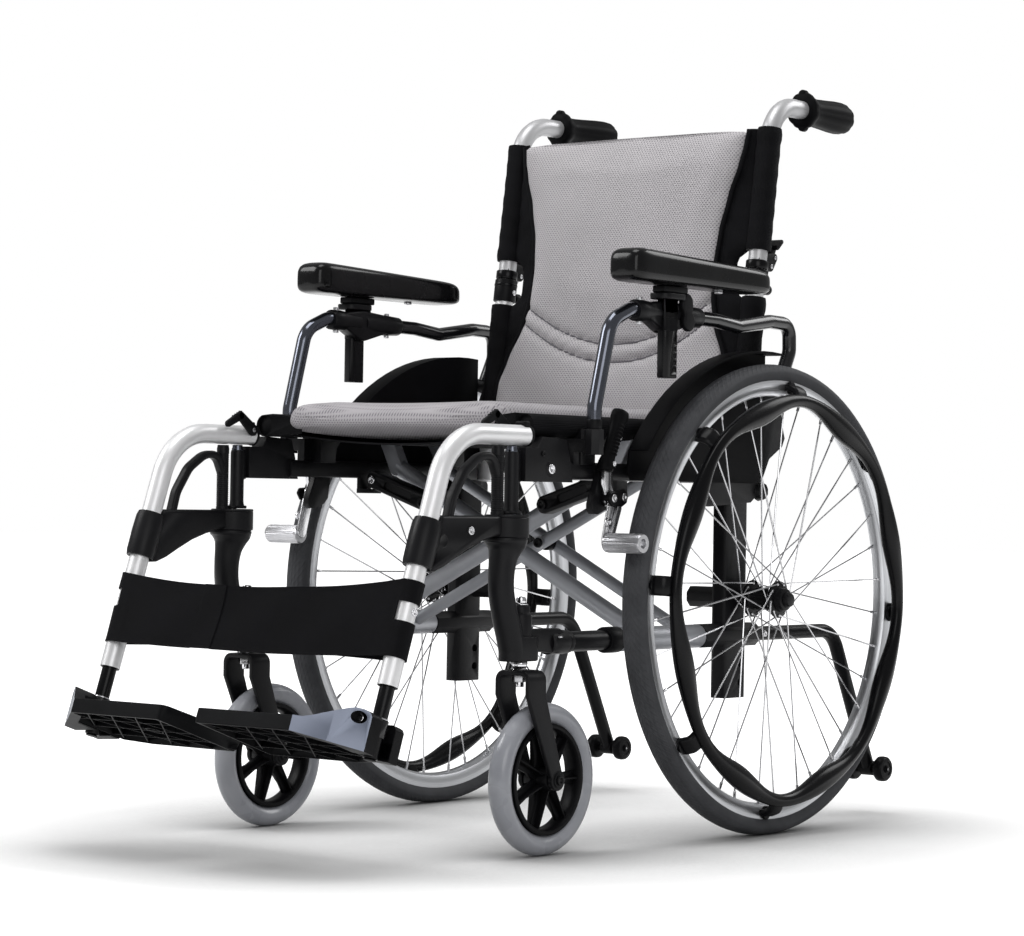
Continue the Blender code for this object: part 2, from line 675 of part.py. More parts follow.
def armrest():
    bar = ARM_BAR_Z
    front = tube([(ARM_X, ARM_FOOT_Y, ARM_FOOT_Z), (ARM_X, ARM_FOOT_Y, ARM_FOOT_Z + 0.0265),
                  (ARM_X, ARM_FOOT_Y + 0.0292, bar - 0.0165), (ARM_X, ARM_FOOT_Y + 0.0717, bar + 0.001),
                  (ARM_X, POST_Y - 0.0354, bar)], ARM_R, 0.035)
    rear = tube([(ARM_X, POST_Y + 0.0596, bar - 0.0025), (ARM_X, POST_Y + 0.1146, bar - 0.0035),
                 (ARM_X, POST_Y + 0.1666, bar - 0.009), (ARM_X, ARM_PIVOT_Y - 0.030, bar + 0.0015),
                 (ARM_X, ARM_PIVOT_Y + 0.0175, bar + 0.0005), (ARM_X, ARM_PIVOT_Y + 0.0187, bar - 0.036),
                 (ARM_X, ARM_PIVOT_Y, ARM_PIVOT_Z)], ARM_R, 0.022)
    eye_in = SIDE_X + 0.012 + FIT
    eye = rod((eye_in, ARM_PIVOT_Y, ARM_PIVOT_Z), (ARM_X + 0.005, ARM_PIVOT_Y, ARM_PIVOT_Z), 0.0100)
    barrel = prism([(POST_ARM_X + u, POST_Y + v) for u, v in rounded_box(0.0148, 0.0245, 0.011)], "z",
                   ARM_CLAMP_TOP_Z - ARM_CLAMP_TALL, ARM_CLAMP_TOP_Z)
    arms = prism(hull([(POST_Y - 0.0524, bar - 0.0015, 0.0125), (POST_Y, bar - 0.006, 0.022),
                       (POST_Y + 0.0766, bar - 0.003, 0.0125)]), "x", ARM_X - 0.0115, ARM_X + 0.0120)
    paddle = prism(hull([(POST_Y + 0.0176, bar + 0.016, 0.006), (POST_Y + 0.0576, bar - 0.0145, 0.005)]),
                   "x", ARM_X + 0.011, ARM_X + 0.018)
    bore = prism([(POST_ARM_X + u, POST_Y + v) for u, v in rounded_box(0.0100 + RUN, 0.0175 + RUN, 0.008)],
                 "z", ARM_CLAMP_TOP_Z - ARM_POST_DOWN, ARM_CLAMP_TOP_Z + 0.03)
    hole = rod((0.2, ARM_PIVOT_Y, ARM_PIVOT_Z), (0.3, ARM_PIVOT_Y, ARM_PIVOT_Z), 0.005 + RUN)
    clear = rod((ARM_X + 0.005, ARM_PIVOT_Y, ARM_PIVOT_Z), (0.3, ARM_PIVOT_Y, ARM_PIVOT_Z), 0.0088)
    pair("armrest_frame", fused([front, rear, eye, barrel, arms, paddle], [bore, hole, clear]), GREY,
         (ARM_X, ARM_PIVOT_Y, ARM_PIVOT_Z))
    post = prism([(POST_ARM_X + u, POST_Y + v) for u, v in rounded_box(0.0100, 0.0175, 0.008)], "z",
                 ARM_CLAMP_TOP_Z - ARM_POST_DOWN, PAD_BOTTOM_Z - FIT)
    head = box((PAD_X - 0.013, POST_Y - 0.030, ARM_CLAMP_TOP_Z + FIT),
               (PAD_X + 0.013, POST_Y + 0.085, PAD_BOTTOM_Z - FIT))
    pair("armrest_post", fused([post, head]), BLACK)
    rings = []
    length = PAD_BACK_Y - PAD_FRONT_Y
    for t in (0.0, 0.012, 0.040, 0.50, 0.965, 1.0):
        edge = min(t, 1 - t)
        fill = sqrt(max(0.0, 1 - (1 - min(edge / 0.035, 1)) ** 2)) * 0.30 + 0.70
        top = PAD_TOP_Z - PAD_SLOPE * t
        half = (top - PAD_BOTTOM_Z) / 2
        tall = 0.35 + 0.65 * fill
        rings.append([(PAD_X + u * fill, PAD_FRONT_Y + length * t, PAD_BOTTOM_Z + half + v * tall)
                      for u, v in rounded_box(PAD_WIDTH / 2, half, 0.013, 2)])
    pad = skin(rings)
    flat = box((0, -1, 0), (1, 1, PAD_BOTTOM_Z))
    pair("armrest_pad", fused([pad], [flat]), BLACK_SOFT)


def side_guard():
    centre = (0, AXLE_Z)
    low = BAR_Z - 0.010
    front_angle = 180 - degrees(asin((low + 0.038 - AXLE_Z) / GUARD_R))
    back_angle = degrees(acos(0.033 / GUARD_R))
    outer = arc(centre, GUARD_R, back_angle, front_angle, 16)
    panel = prism(outer + [(-0.266, low + 0.012), (-0.258, low), (0.020, low), (0.033, low + 0.012)], "x",
                  GUARD_X, GUARD_X + 0.003)
    strip = arc(centre, GUARD_R, back_angle, front_angle, 16) + \
        arc(centre, GUARD_R - 0.003, front_angle, back_angle, 16)
    fender = prism(strip, "x", GUARD_X + 0.001, FENDER_OUT_X)
    pair("side_guard", fused([panel, fender]), BLACK)


def brake():
    lever_x1 = BRAKE_X + 0.0115
    arm = prism(hull([(BRAKE_Y, BRAKE_Z, 0.0105), (BRAKE_Y - 0.003, BRAKE_Z + 0.044, 0.0075)]), "x",
                BRAKE_X + 0.003, BRAKE_X + 0.009)
    hub = rod((BRAKE_X, BRAKE_Y, BRAKE_Z), (lever_x1, BRAKE_Y, BRAKE_Z), 0.0100, 12)
    grip_x = BRAKE_X + 0.0065
    grip = sweep([(grip_x, BRAKE_Y - 0.004, BRAKE_Z + 0.040), (grip_x, BRAKE_Y - 0.003, BRAKE_Z + 0.046),
                  (grip_x, BRAKE_Y + 0.006, BRAKE_Z + 0.070), (grip_x, BRAKE_Y + 0.019, BRAKE_Z + 0.098),
                  (grip_x, BRAKE_Y + 0.022, BRAKE_Z + 0.106), (grip_x, BRAKE_Y + 0.0235, BRAKE_Z + 0.110)],
                 [oval(r * 0.82, r, 10) for r in (0.007, 0.0095, 0.0080, 0.0108, 0.0095, 0.005)], (1, 0, 0))
    hole = rod((0.2, BRAKE_Y, BRAKE_Z), (0.3, BRAKE_Y, BRAKE_Z), 0.004 + RUN)
    pair("brake_lever", fused([arm, hub, grip], [hole]), BLACK, (BRAKE_X, BRAKE_Y, BRAKE_Z))
    in_x = lever_x1 + FIT
    plate = prism(hull([(BRAKE_Y, BRAKE_Z, 0.0092), (ROLLER_Y, ROLLER_Z, 0.0085)]), "x", in_x, in_x + 0.004)
    roller = rod((in_x + 0.001, ROLLER_Y, ROLLER_Z), (0.310, ROLLER_Y, ROLLER_Z), ROLLER_R, 12)
    hole = rod((0.2, BRAKE_Y, BRAKE_Z), (0.3, BRAKE_Y, BRAKE_Z), 0.004 + RUN)
    pair("brake_shoe", fused([plate, roller], [hole]), SILVER, (BRAKE_X, BRAKE_Y, BRAKE_Z))


# Hanger and footrest

def on_tube(z, x=SIDE_X):
    return (x, hanger_y(z), z)


def hanger():
    path = bend([(SIDE_X, HANGER_END_Y, HANGER_Z), (SIDE_X, HANGER_CORNER_Y, HANGER_Z),
                 on_tube(HANGER_LOW_Z)], HANGER_BEND_R, 6)
    pipe = sweep(path, oval(HANGER_R, HANGER_R, TURNING), (1, 0, 0))
    lever_at = (HANGER_END_Y - 0.013, HANGER_Z + 0.0065)
    lever_x = SIDE_X - HANGER_R - FIT
    pin = rod((lever_x - 0.0055, *lever_at), (SIDE_X - 0.006, *lever_at), 0.003)
    latch = box((SIDE_X - 0.008, HANGER_END_Y - 0.010, HANGER_Z + 0.008),
                (SIDE_X + 0.008, HANGER_END_Y + 0.002, HANGER_Z + HANGER_R + 0.006))
    bore_top = Vector(on_tube(HANGER_LOW_Z)) - TUBE_DOWN * 0.125
    bore = rod(bore_top, Vector(on_tube(HANGER_LOW_Z)) + TUBE_DOWN * 0.01, STEM_TUBE_R + RUN)
    pair("hanger_tube", fused([pipe, pin, latch], [bore]), SILVER, (SIDE_X, PIVOT_Y, HANGER_Z))

    lever = prism(hull([(*lever_at, 0.0075), (lever_at[0] - 0.023, lever_at[1] + 0.018, 0.0055)]), "x",
                  lever_x - 0.0055, lever_x)
    tip = prism(hull([(lever_at[0] - 0.023, lever_at[1] + 0.018, 0.0055),
                      (lever_at[0] - 0.045, lever_at[1] + 0.007, 0.0042)], 3),
                "x", lever_x - 0.0055, lever_x)
    hole = rod((0.15, *lever_at), (0.25, *lever_at), 0.003 + RUN)
    pair("hanger_lever", fused([lever, tip], [hole]), BLACK, (lever_x, *lever_at))

    ring = rod((SIDE_X, PIVOT_Y, RING_BOTTOM_Z), (SIDE_X, PIVOT_Y, RING_TOP_Z), RING_R, 16)
    arm = prism([(-0.470, 0.410), (-0.470, 0.385), (-0.505, 0.385), (-0.560, 0.372), (-0.600, 0.353),
                 (-0.628, 0.345), (-0.650, 0.352), (-0.650, 0.372), (-0.638, 0.398), (-0.618, 0.4085),
                 (-0.560, 0.409)], "x", SIDE_X - 0.0115, SIDE_X + 0.0115)
    clamp = rod(on_tube(CLAMP_HIGH_Z), on_tube(CLAMP_LOW_Z - 0.003), 0.0180, TURNING)
    front_rib = rod((SIDE_X, FRONT_RIB_Y, RING_TOP_Z - 0.005),
                    (SIDE_X, FRONT_RIB_Y, HANGER_Z - HANGER_R - FIT), 0.0079)
    strut_section = [(0.0065, 0.0045), (-0.0065, 0.0045), (-0.0065, -0.0045), (0.0065, -0.0045)]
    strut_path = at_side((FRONT_RIB_Y, 0.462), (-0.516, 0.478), (-0.552, 0.468), (-0.578, 0.436),
                         (-0.588, 0.402))
    strut = sweep(bend(strut_path, 0.03, 2), strut_section, (1, 0, 0))
    pivot_bore = rod((SIDE_X, PIVOT_Y, 0.37), (SIDE_X, PIVOT_Y, 0.42), PIVOT_R + RUN, TURNING)
    tube_bore = rod(on_tube(0.44), on_tube(0.32), HANGER_R + RUN, TURNING)
    relief = rod((SIDE_X, REAR_RIB_Y, RING_TOP_Z), (SIDE_X, REAR_RIB_Y, 0.52), 0.0118)
    body = fused([ring, arm, clamp, front_rib, strut], [pivot_bore, tube_bore, relief])
    pair("hanger_bracket", body, BLACK, (SIDE_X, PIVOT_Y, RING_TOP_Z))


def on_foot(x, u, n):
    # A point in the footplate's own tilted frame: u toward the toe, n up.
    return Vector((x, 0, 0)) + FOOT + PLATE_TOEWARD * u + PLATE_UP * n


def foot_prism(outline, low, high):
    # An outline in (x, u) carried from low to high along the footplate's normal.
    return skin([[on_foot(x, u, low) for x, u in outline], [on_foot(x, u, high) for x, u in outline]])


def cheek_u(x):
    # The slanted outer face of the footplate's cheek.
    along = (x - CHEEK_START_X) / (CHEEK_END_X - CHEEK_START_X)
    return PLATE_TOE + (CHEEK_END_U - PLATE_TOE) * along


def cheek_solid(profile, back):
    # A profile in (x, n), carried from the slanted face back to the u that back(x) gives.
    return skin([[on_foot(x, cheek_u(x), n) for x, n in profile],
                 [on_foot(x, back(x), n) for x, n in profile]])


def footrest():
    top = Vector(on_tube(HANGER_LOW_Z)) - TUBE_DOWN * 0.095
    stem = rod(top, on_foot(SIDE_X, 0, -0.020), STEM_TUBE_R)
    swivel = rod(on_foot(SIDE_X, 0, 0.0275), on_foot(SIDE_X, 0, 0.006), SWIVEL_R)
    pin = rod(on_foot(SIDE_X, EAR_BACK - 0.003, FLIP_N), on_foot(SIDE_X, 0.0305, FLIP_N), FLIP_PIN_R)
    head = rod(on_foot(SIDE_X, 0.0303, FLIP_N), on_foot(SIDE_X, 0.0350, FLIP_N), 0.0060)
    pair("footrest_tube", fused([stem, swivel, pin, head]), CHROME, on_foot(SIDE_X, 0, 0))

    inner = PLATE_INNER_X
    heel = -PLATE_HEEL
    outline = [(inner, heel + 0.010), (inner, 0.050), (inner + 0.006, PLATE_TOE), (CHEEK_START_X, PLATE_TOE),
               (CHEEK_END_X, CHEEK_END_U), (CHEEK_END_X, SLOT_HALF), (SLOT_X, SLOT_HALF),
               (SLOT_X, -SLOT_HALF), (CHEEK_END_X, -SLOT_HALF), (CHEEK_END_X, EAR_BACK), (0.165, heel),
               (inner + 0.010, heel)]
    slab = foot_prism(outline, PLATE_LOW, PLATE_HIGH)
    web = cheek_solid([(0.1790, -0.0130), (0.2110, -0.0155), (0.2110, 0.0190), (0.1865, 0.0050),
                       (0.1790, 0.0040)], lambda x: cheek_u(x) - 0.018)
    ear = cheek_solid([(0.2086, -0.0153), (0.2427, -0.0178), (0.2427, 0.0235), (0.2400, 0.0270),
                       (0.2350, 0.0290), (0.2290, 0.0283), (0.2220, 0.0251), (0.2086, 0.0175)],
                      lambda x: SLOT_HALF + 0.0002)
    rear = skin([[on_foot(x, u, n) for x, n in ((0.2086, -0.0153), (0.2427, -0.0178), (0.2427, 0.0190),
                                               (0.2385, 0.0258), (0.2150, 0.0258), (0.2086, 0.0175))]
                 for u in (-SLOT_HALF - 0.0002, EAR_BACK + 0.0002)])
    hole = rod(on_foot(SIDE_X, -0.2, FLIP_N), on_foot(SIDE_X, 0.0305, FLIP_N), FLIP_PIN_R + RUN)
    recess = rod(on_foot(SIDE_X, 0.0300, FLIP_N), on_foot(SIDE_X, 0.2, FLIP_N), 0.0085, 10)
    plate = fused([slab, web, ear, rear], [joined(foot_pockets()), hole, recess, bevel()])
    pair("footplate", plate, BLACK, on_foot(SIDE_X, 0, FLIP_N))


def foot_pockets():
    # Triangular pockets under the footplate, which leave the crossing ribs between them.
    columns = 2
    rows = 2
    keep = 0.86
    left_x = PLATE_INNER_X + PLATE_BEVEL + 0.003
    column = (0.172 - left_x) / columns
    row = (PLATE_TOE + PLATE_HEEL - 0.010) / rows
    corners = [(-1, -1), (1, -1), (1, 1), (-1, 1)]
    pockets = []
    for i in range(columns):
        for j in range(rows):
            mid_x = left_x + column * (i + 0.5)
            mid_u = 0.005 - PLATE_HEEL + row * (j + 0.5)
            for k in range(4):
                three = [corners[k], corners[(k + 1) % 4], (0, 0)]
                centre_x = sum(p[0] for p in three) / 3
                centre_u = sum(p[1] for p in three) / 3
                triangle = []
                for px, pu in three:
                    along_x = centre_x + (px - centre_x) * keep
                    along_u = centre_u + (pu - centre_u) * keep
                    triangle.append((mid_x + along_x * column / 2, mid_u + along_u * row / 2))
                pockets.append(foot_prism(triangle, PLATE_LOW - 0.01, PLATE_HIGH - 0.004))
    return pockets


def bevel():
    # Cuts a slope under the inner edge, so that the two plates pass as they flip up.
    x0 = PLATE_INNER_X
    rings = []
    for u in (-PLATE_HEEL - 0.01, PLATE_TOE + 0.01):
        rings.append([on_foot(x0 - 0.0007, u, PLATE_LOW - 0.001),
                      on_foot(x0 + PLATE_BEVEL + 0.0007, u, PLATE_LOW - 0.001),
                      on_foot(x0 - 0.0007, u, PLATE_HIGH)])
    return skin(rings)


# Caster

def caster():
    top = rounded_box(FORK_LEG_X + FORK_LEG_THICK / 2, 0.0215, 0.008)
    crown = prism([(SIDE_X + u, STEM_Y + v) for u, v in top], "z", FORK_TOP_Z - 0.020, FORK_TOP_Z)
    legs = []
    for side in (-1, 1):
        mid = SIDE_X + side * FORK_LEG_X
        outline = hull([(STEM_Y + 0.002, FORK_TOP_Z - 0.016, 0.0155), (CASTER_Y, CASTER_R, 0.0120)], 4)
        legs.append(prism(outline, "x", mid - FORK_LEG_THICK / 2, mid + FORK_LEG_THICK / 2))
    stem = rod((SIDE_X, STEM_Y, FORK_TOP_Z - 0.005), (SIDE_X, STEM_Y, HOUSING_TOP_Z - 0.012), STEM_R,
               TURNING)
    collar = rod((SIDE_X, STEM_Y, FORK_TOP_Z - 0.002), (SIDE_X, STEM_Y, HOUSING_BOTTOM_Z - FIT), 0.0095)
    axle = rod((SIDE_X - FORK_LEG_X, CASTER_Y, CASTER_R),
               (SIDE_X + FORK_LEG_X + FORK_LEG_THICK / 2 + 0.003, CASTER_Y, CASTER_R), CASTER_AXLE_R)
    pair("caster_fork", fused([crown, *legs, stem, collar, axle]), BLACK, (SIDE_X, STEM_Y, FORK_TOP_Z))

    r = CASTER_R
    h = CASTER_HALF
    tread = turned([(r - 0.028, -h + 0.004), (r - 0.021, -h + 0.004), (r - 0.017, -h),
                    (r - 0.006, -h + 0.002), (r, 0), (r - 0.006, h - 0.002), (r - 0.017, h),
                    (r - 0.021, h - 0.004), (r - 0.028, h - 0.004)],
                   (SIDE_X, CASTER_Y, CASTER_R), (1, 0, 0), 16)
    hub = rod((SIDE_X - FORK_LEG_X + FORK_LEG_THICK / 2 + RUN, CASTER_Y, CASTER_R),
              (SIDE_X + FORK_LEG_X - FORK_LEG_THICK / 2 - RUN, CASTER_Y, CASTER_R), 0.0150, TURNING)
    web = []
    for i in range(CASTER_RIBS):
        a = 2 * pi * i / CASTER_RIBS
        radial = Vector((0, sin(a), cos(a)))
        centre = Vector((SIDE_X, CASTER_Y, CASTER_R))
        web.append(sweep([centre + radial * 0.0130, centre + radial * (r - 0.0265)],
                         [oval(0.0095, 0.0062, 4, 0.5), oval(0.0110, 0.0105, 4, 0.5)], (1, 0, 0)))
    bore = rod((0.1, CASTER_Y, CASTER_R), (0.4, CASTER_Y, CASTER_R), CASTER_AXLE_R + RUN)
    pair("caster_wheel", fused([tread, hub, *web], [bore]), TYRE_GREY, (SIDE_X, CASTER_Y, CASTER_R))


# Rear wheel

def rear_wheel():
    centre = (WHEEL_X, 0, AXLE_Z)
    seat_r = WHEEL_R - TYRE_DEPTH
    half = TYRE_WIDTH / 2
    tyre = turned([(seat_r, -0.0105), (WHEEL_R - TYRE_DEPTH * 0.45, -half), (WHEEL_R - 0.0030, -half * 0.66),
                   (WHEEL_R, 0), (WHEEL_R - 0.0030, half * 0.66), (WHEEL_R - TYRE_DEPTH * 0.45, half),
                   (seat_r, 0.0105)], centre, (1, 0, 0), WHEEL_STEPS)
    pair("rear_tyre", tyre, TYRE_BLACK, centre)

    rim_r = seat_r - FIT
    wide = RIM_WIDTH / 2
    rim = turned([(rim_r, -wide), (rim_r - RIM_DEPTH * 0.5, -wide), (rim_r - RIM_DEPTH, 0),
                  (rim_r - RIM_DEPTH * 0.5, wide), (rim_r, wide)],
                 centre, (1, 0, 0), WHEEL_STEPS)
    inner = HUB_IN_X - WHEEL_X
    outer = HUB_OUT_X - WHEEL_X
    hub = turned([(0, inner), (0.0125, inner), (FLANGE_R, inner + 0.004), (FLANGE_R, inner + 0.007),
                  (0.0125, inner + 0.010), (0.0125, outer - 0.018), (FLANGE_R, outer - 0.015),
                  (FLANGE_R, outer - 0.012), (0.0150, outer - 0.009), (0.0125, outer - 0.002), (0, outer)],
                 centre, (1, 0, 0), TURNING)
    bore = rod((HUB_IN_X - 0.01, 0, AXLE_Z), (HUB_OUT_X + 0.01, 0, AXLE_Z), AXLE_R + RUN, TURNING)
    spokes = []
    for i in range(SPOKES):
        side = -1 if i % 2 else 1
        lean = 1 if (i // 2) % 2 else -1
        out = 2 * pi * (i + 0.5) / SPOKES
        root = out + lean * radians(75)
        flange_x = WHEEL_X + (outer - 0.0135 if side > 0 else inner + 0.0055) + 0.0016 * lean
        start = Vector((flange_x, (FLANGE_R - 0.004) * sin(root), AXLE_Z + (FLANGE_R - 0.004) * cos(root)))
        end_r = rim_r - RIM_DEPTH * 0.6
        end = Vector((WHEEL_X + 0.002 * side, end_r * sin(out), AXLE_Z + end_r * cos(out)))
        spokes.append(rod(start, end, SPOKE_R, 3))
    body = fused([rim, hub] + spokes, [bore])
    pair("rear_wheel", body, ALLOY, centre)


def handrim():
    steps = 4 * HANDRIM_TABS
    path = []
    sections = []
    for i in range(steps):
        a = 2 * pi * i / steps
        lobe = 0.5 + 0.5 * cos(HANDRIM_TABS * a)
        path.append((HANDRIM_X, HANDRIM_R * sin(a), AXLE_Z + HANDRIM_R * cos(a)))
        thick = HANDRIM_THICK + HANDRIM_LOBE * lobe
        sections.append(oval(thick, thick * 0.92, 6))
    ring = sweep(path, sections, (1, 0, 0), closed=True)
    tabs = []
    rim_face = WHEEL_X + RIM_WIDTH / 2 + FIT
    tab_r = WHEEL_R - TYRE_DEPTH - RIM_DEPTH * 0.45
    for i in range(HANDRIM_TABS):
        a = 2 * pi * (i + 0.5) / HANDRIM_TABS
        radial = Vector((0, sin(a), cos(a)))
        foot = Vector((rim_face, 0, AXLE_Z)) + radial * tab_r
        elbow = Vector((rim_face + 0.006, 0, AXLE_Z)) + radial * tab_r
        end = Vector((HANDRIM_X - 0.002, 0, AXLE_Z)) + radial * (HANDRIM_R + 0.001)
        tangent = Vector((0, cos(a), -sin(a)))
        shapes = [oval(0.0120, 0.0050, 4)] * 2 + [oval(0.0080, 0.0048, 4)]
        tabs.append(sweep([foot, elbow, end], shapes, tangent))
    pair("handrim", fused([ring] + tabs), BLACK_GLOSS, (WHEEL_X, 0, AXLE_Z))


def anti_tipper():
    start = (SIDE_X, 0.010, LOWER_Z)
    end = (SIDE_X, TIP_Y, TIP_Z)
    pipe = tube([start, (SIDE_X, TIP_CORNER_Y, LOWER_Z), end], TIP_R, 0.045, TURNING, 4)
    eye = rod((SIDE_X - 0.0095, TIP_Y, TIP_Z), (SIDE_X + 0.0095, TIP_Y, TIP_Z), 0.0100, 12)
    hole = rod((0.15, TIP_Y, TIP_Z), (0.3, TIP_Y, TIP_Z), 0.003 + RUN)
    pair("anti_tipper", fused([pipe, eye], [hole]), BLACK, (SIDE_X, 0, LOWER_Z))
    axle = rod((SIDE_X - TIP_WHEEL_X, TIP_Y, TIP_Z), (SIDE_X + TIP_WHEEL_X, TIP_Y, TIP_Z), 0.003)
    wheels = []
    for side in (-1, 1):
        near = 0.0098
        far = TIP_WHEEL_X + 0.0075
        wheels.append(turned([(0, near), (0.006, near), (0.007, TIP_WHEEL_X - 0.0075),
                              (TIP_WHEEL_R - 0.002, TIP_WHEEL_X - 0.0075), (TIP_WHEEL_R, TIP_WHEEL_X),
                              (TIP_WHEEL_R - 0.002, far), (0, far)],
                             (SIDE_X, TIP_Y, TIP_Z), (side, 0, 0), TURNING))
    pair("anti_tipper_wheels", fused([axle, *wheels]), BLACK, (SIDE_X, TIP_Y, TIP_Z))


# Cross brace

def brace(side):
    # One brace: its sleeve on this side's lower rail, two tubes and the seat rail of the other side.
    step = 0 if side > 0 else -BRACE_STEP
    along = Vector((-side * cos(BRACE_ANGLE), 0, sin(BRACE_ANGLE)))
    foot = Vector((side * SIDE_X, 0, LOWER_Z))
    sleeve = rod(foot + Vector((0, -0.2565, 0)), foot + Vector((0, CASTING_FRONT_Y - RUN, 0)), SLEEVE_R,
                 TURNING)
    bore = rod(foot + Vector((0, -0.30, 0)), foot + Vector((0, 0, 0)), TUBE_R + RUN, TURNING)
    rail_x = -side * RAIL_X
    rail = rod((rail_x, RAIL_FRONT_Y, SEAT_Z), (rail_x, RAIL_BACK_Y, SEAT_Z), TUBE_R, TURNING)
    parts = [sleeve, rail]
    top_x = 0.190
    top = foot + along * ((SIDE_X + top_x) / cos(BRACE_ANGLE))
    cuts = [bore]
    for y, wide, tall in ((BRACE_FRONT_Y + step, BRACE_TUBE, BRACE_TALL),
                          (BRACE_REAR_Y + step, BAR_TUBE, BAR_TALL)):
        at = Vector((0, y, 0))
        parts.append(sweep([foot + at, top + at], oval(wide / 2, tall / 2, TURNING), (0, 1, 0)))
        web = hull([(-side * top_x, top.z, tall / 2 - 0.0005), (rail_x, SEAT_Z, TUBE_R - 0.001)])
        parts.append(prism(web, "y", y - wide / 2 + 0.001, y + wide / 2 - 0.001))
        cross = Vector((0, y, CROSS_Z))
        if side > 0:
            reach = BRACE_STEP + wide / 2 + 0.004
            parts.append(rod(cross, cross + Vector((0, -reach, 0)), 0.005))
            parts.append(rod(cross, cross + Vector((0, -BRACE_STEP + wide / 2 + FIT, 0)), 0.010, 12))
        else:
            cuts.append(rod(cross + Vector((0, -0.05, 0)), cross + Vector((0, 0.05, 0)), 0.005 + RUN))
    # The bolt that carries the link arm of the side that this brace reaches up to.
    bolt_at = foot + along * (BRACE_R + LINK_AT)
    front = BRACE_FRONT_Y - BRACE_STEP - BRACE_TUBE / 2
    parts.append(rod(bolt_at + Vector((0, BRACE_FRONT_Y + step, 0)),
                     bolt_at + Vector((0, front - LINK_THICK - 0.003, 0)), 0.004))
    name = "brace_left" if side > 0 else "brace_right"
    pivot = (SIDE_X, 0, LOWER_Z) if side > 0 else (0, 0, CROSS_Z)
    return node(name, fused(parts, cuts), BRACE_SILVER, pivot)


def link_arm():
    reach = BRACE_R + LINK_AT
    px = -SIDE_X + reach * cos(BRACE_ANGLE)
    pz = LOWER_Z + reach * sin(BRACE_ANGLE)
    front = BRACE_FRONT_Y - BRACE_STEP - BRACE_TUBE / 2 - RUN - LINK_THICK
    arm = prism(hull([(px, pz, LINK_R), (LINK_END_X, LINK_END_Z, LINK_R)]), "y", front, front + LINK_THICK)
    hole = rod((px, -1, pz), (px, 1, pz), 0.004 + RUN)
    pair("link_arm", fused([arm], [hole]), BLACK, (px, front, pz))


# Upholstery

def seat_cover():
    flap = RAIL_X
    top = []
    low = []
    rail_top = SEAT_Z + TUBE_R + FIT
    for j in range(SEAT_ROWS + 1):
        t = j / SEAT_ROWS
        y = SEAT_FRONT_Y + (SEAT_BACK_Y - SEAT_FRONT_Y) * t
        front = min(1.0, t / 0.16)
        roll = sqrt(1 - (1 - front) ** 2)
        top_row = []
        low_row = []
        for i in range(SEAT_COLUMNS + 1):
            s = -1 + 2 * i / SEAT_COLUMNS
            x = flap * s
            inside = max(0.0, 1 - abs(x) / (SEAT_HALF + 0.006))
            pad = min(1.0, inside / 0.10)
            crown = sqrt(1 - (1 - pad) ** 2)
            edge = rail_top + 0.0028
            z_top = edge + (SEAT_TOP_Z - edge) * crown * (0.30 + 0.70 * roll)
            z_top -= 0.004 * (1 - (x / flap) ** 2) * roll
            under = max(0.0, 1 - abs(x) / (flap - 0.0155))
            sag = 0.016 * min(1.0, under / 0.20)
            top_row.append((x, y, z_top))
            low_row.append((x, y, rail_top - sag))
        top.append(top_row)
        low.append(low_row)
    rings = [a + b[::-1] for a, b in zip(top, low)]
    node("seat_cover", skin(rings), MESH_GREY)


def cover_half(z):
    # Half width of the grey panel of the back, which narrows to a waist.
    k = (z - COVER_LOW_Z) / (COVER_TOP_Z - COVER_LOW_Z)
    return 0.141 + 0.045 * abs(k - 0.38) ** 1.3 / 0.62 ** 1.3


def back_cover(name, low, high, sleeve_low, sleeve_high):
    # One half of the padded back. Its middle runs from low to high, and its sleeves, round the canes,
    # only over the sleeve heights.
    columns = COVER_COLUMNS
    even = {low + (high - low) * i / COVER_ROWS for i in range(1, COVER_ROWS)}
    edges = {low, high, sleeve_low, sleeve_high, sleeve_low - 0.003, sleeve_high + 0.003}
    levels = sorted(z for z in even | edges if low <= z <= high)
    rings = []
    for z in levels:
        sewn = sleeve_low <= z <= sleeve_high
        half = POST_X - 0.012 if sewn else POST_X - SLEEVE_COVER_R - 0.006
        y_mid = lean_y(z)
        front_row = []
        back_row = []
        for i in range(columns + 1):
            x = half * (-1 + 2 * i / columns)
            panel = cover_half(z)
            pad = max(0.0, 1 - abs(x) / panel)
            crown = 0.010 * sqrt(1 - (1 - min(1.0, pad / 0.12)) ** 2)
            line = COVER_SEAM_Z + 0.055 * (abs(x) / 0.15) ** 2.2
            if abs(x) < panel:
                crown -= 0.005 * max(0.0, 1 - abs(z - line) / 0.012)
            sag = 0.008 * (1 - (x / half) ** 2)
            front_row.append((x, y_mid - 0.0105 - crown + sag, z))
            back_row.append((x, y_mid - 0.0035 + sag, z))
        rings.append(front_row + back_row[::-1])
    parts = [skin(rings)]
    cuts = []
    for side in (-1, 1):
        ends = [along_back(sleeve_low, side * POST_X), along_back(sleeve_high, side * POST_X)]
        parts.append(sweep(ends, oval(SLEEVE_COVER_R, SLEEVE_COVER_R, TURNING), (1, 0, 0)))
        ends = [along_back(sleeve_low - 0.02, side * POST_X), along_back(sleeve_high + 0.02, side * POST_X)]
        cuts.append(sweep(ends, oval(TUBE_R + RUN, TUBE_R + RUN, TURNING), (1, 0, 0)))
    return node(name, fused(parts, cuts), MESH_GREY)


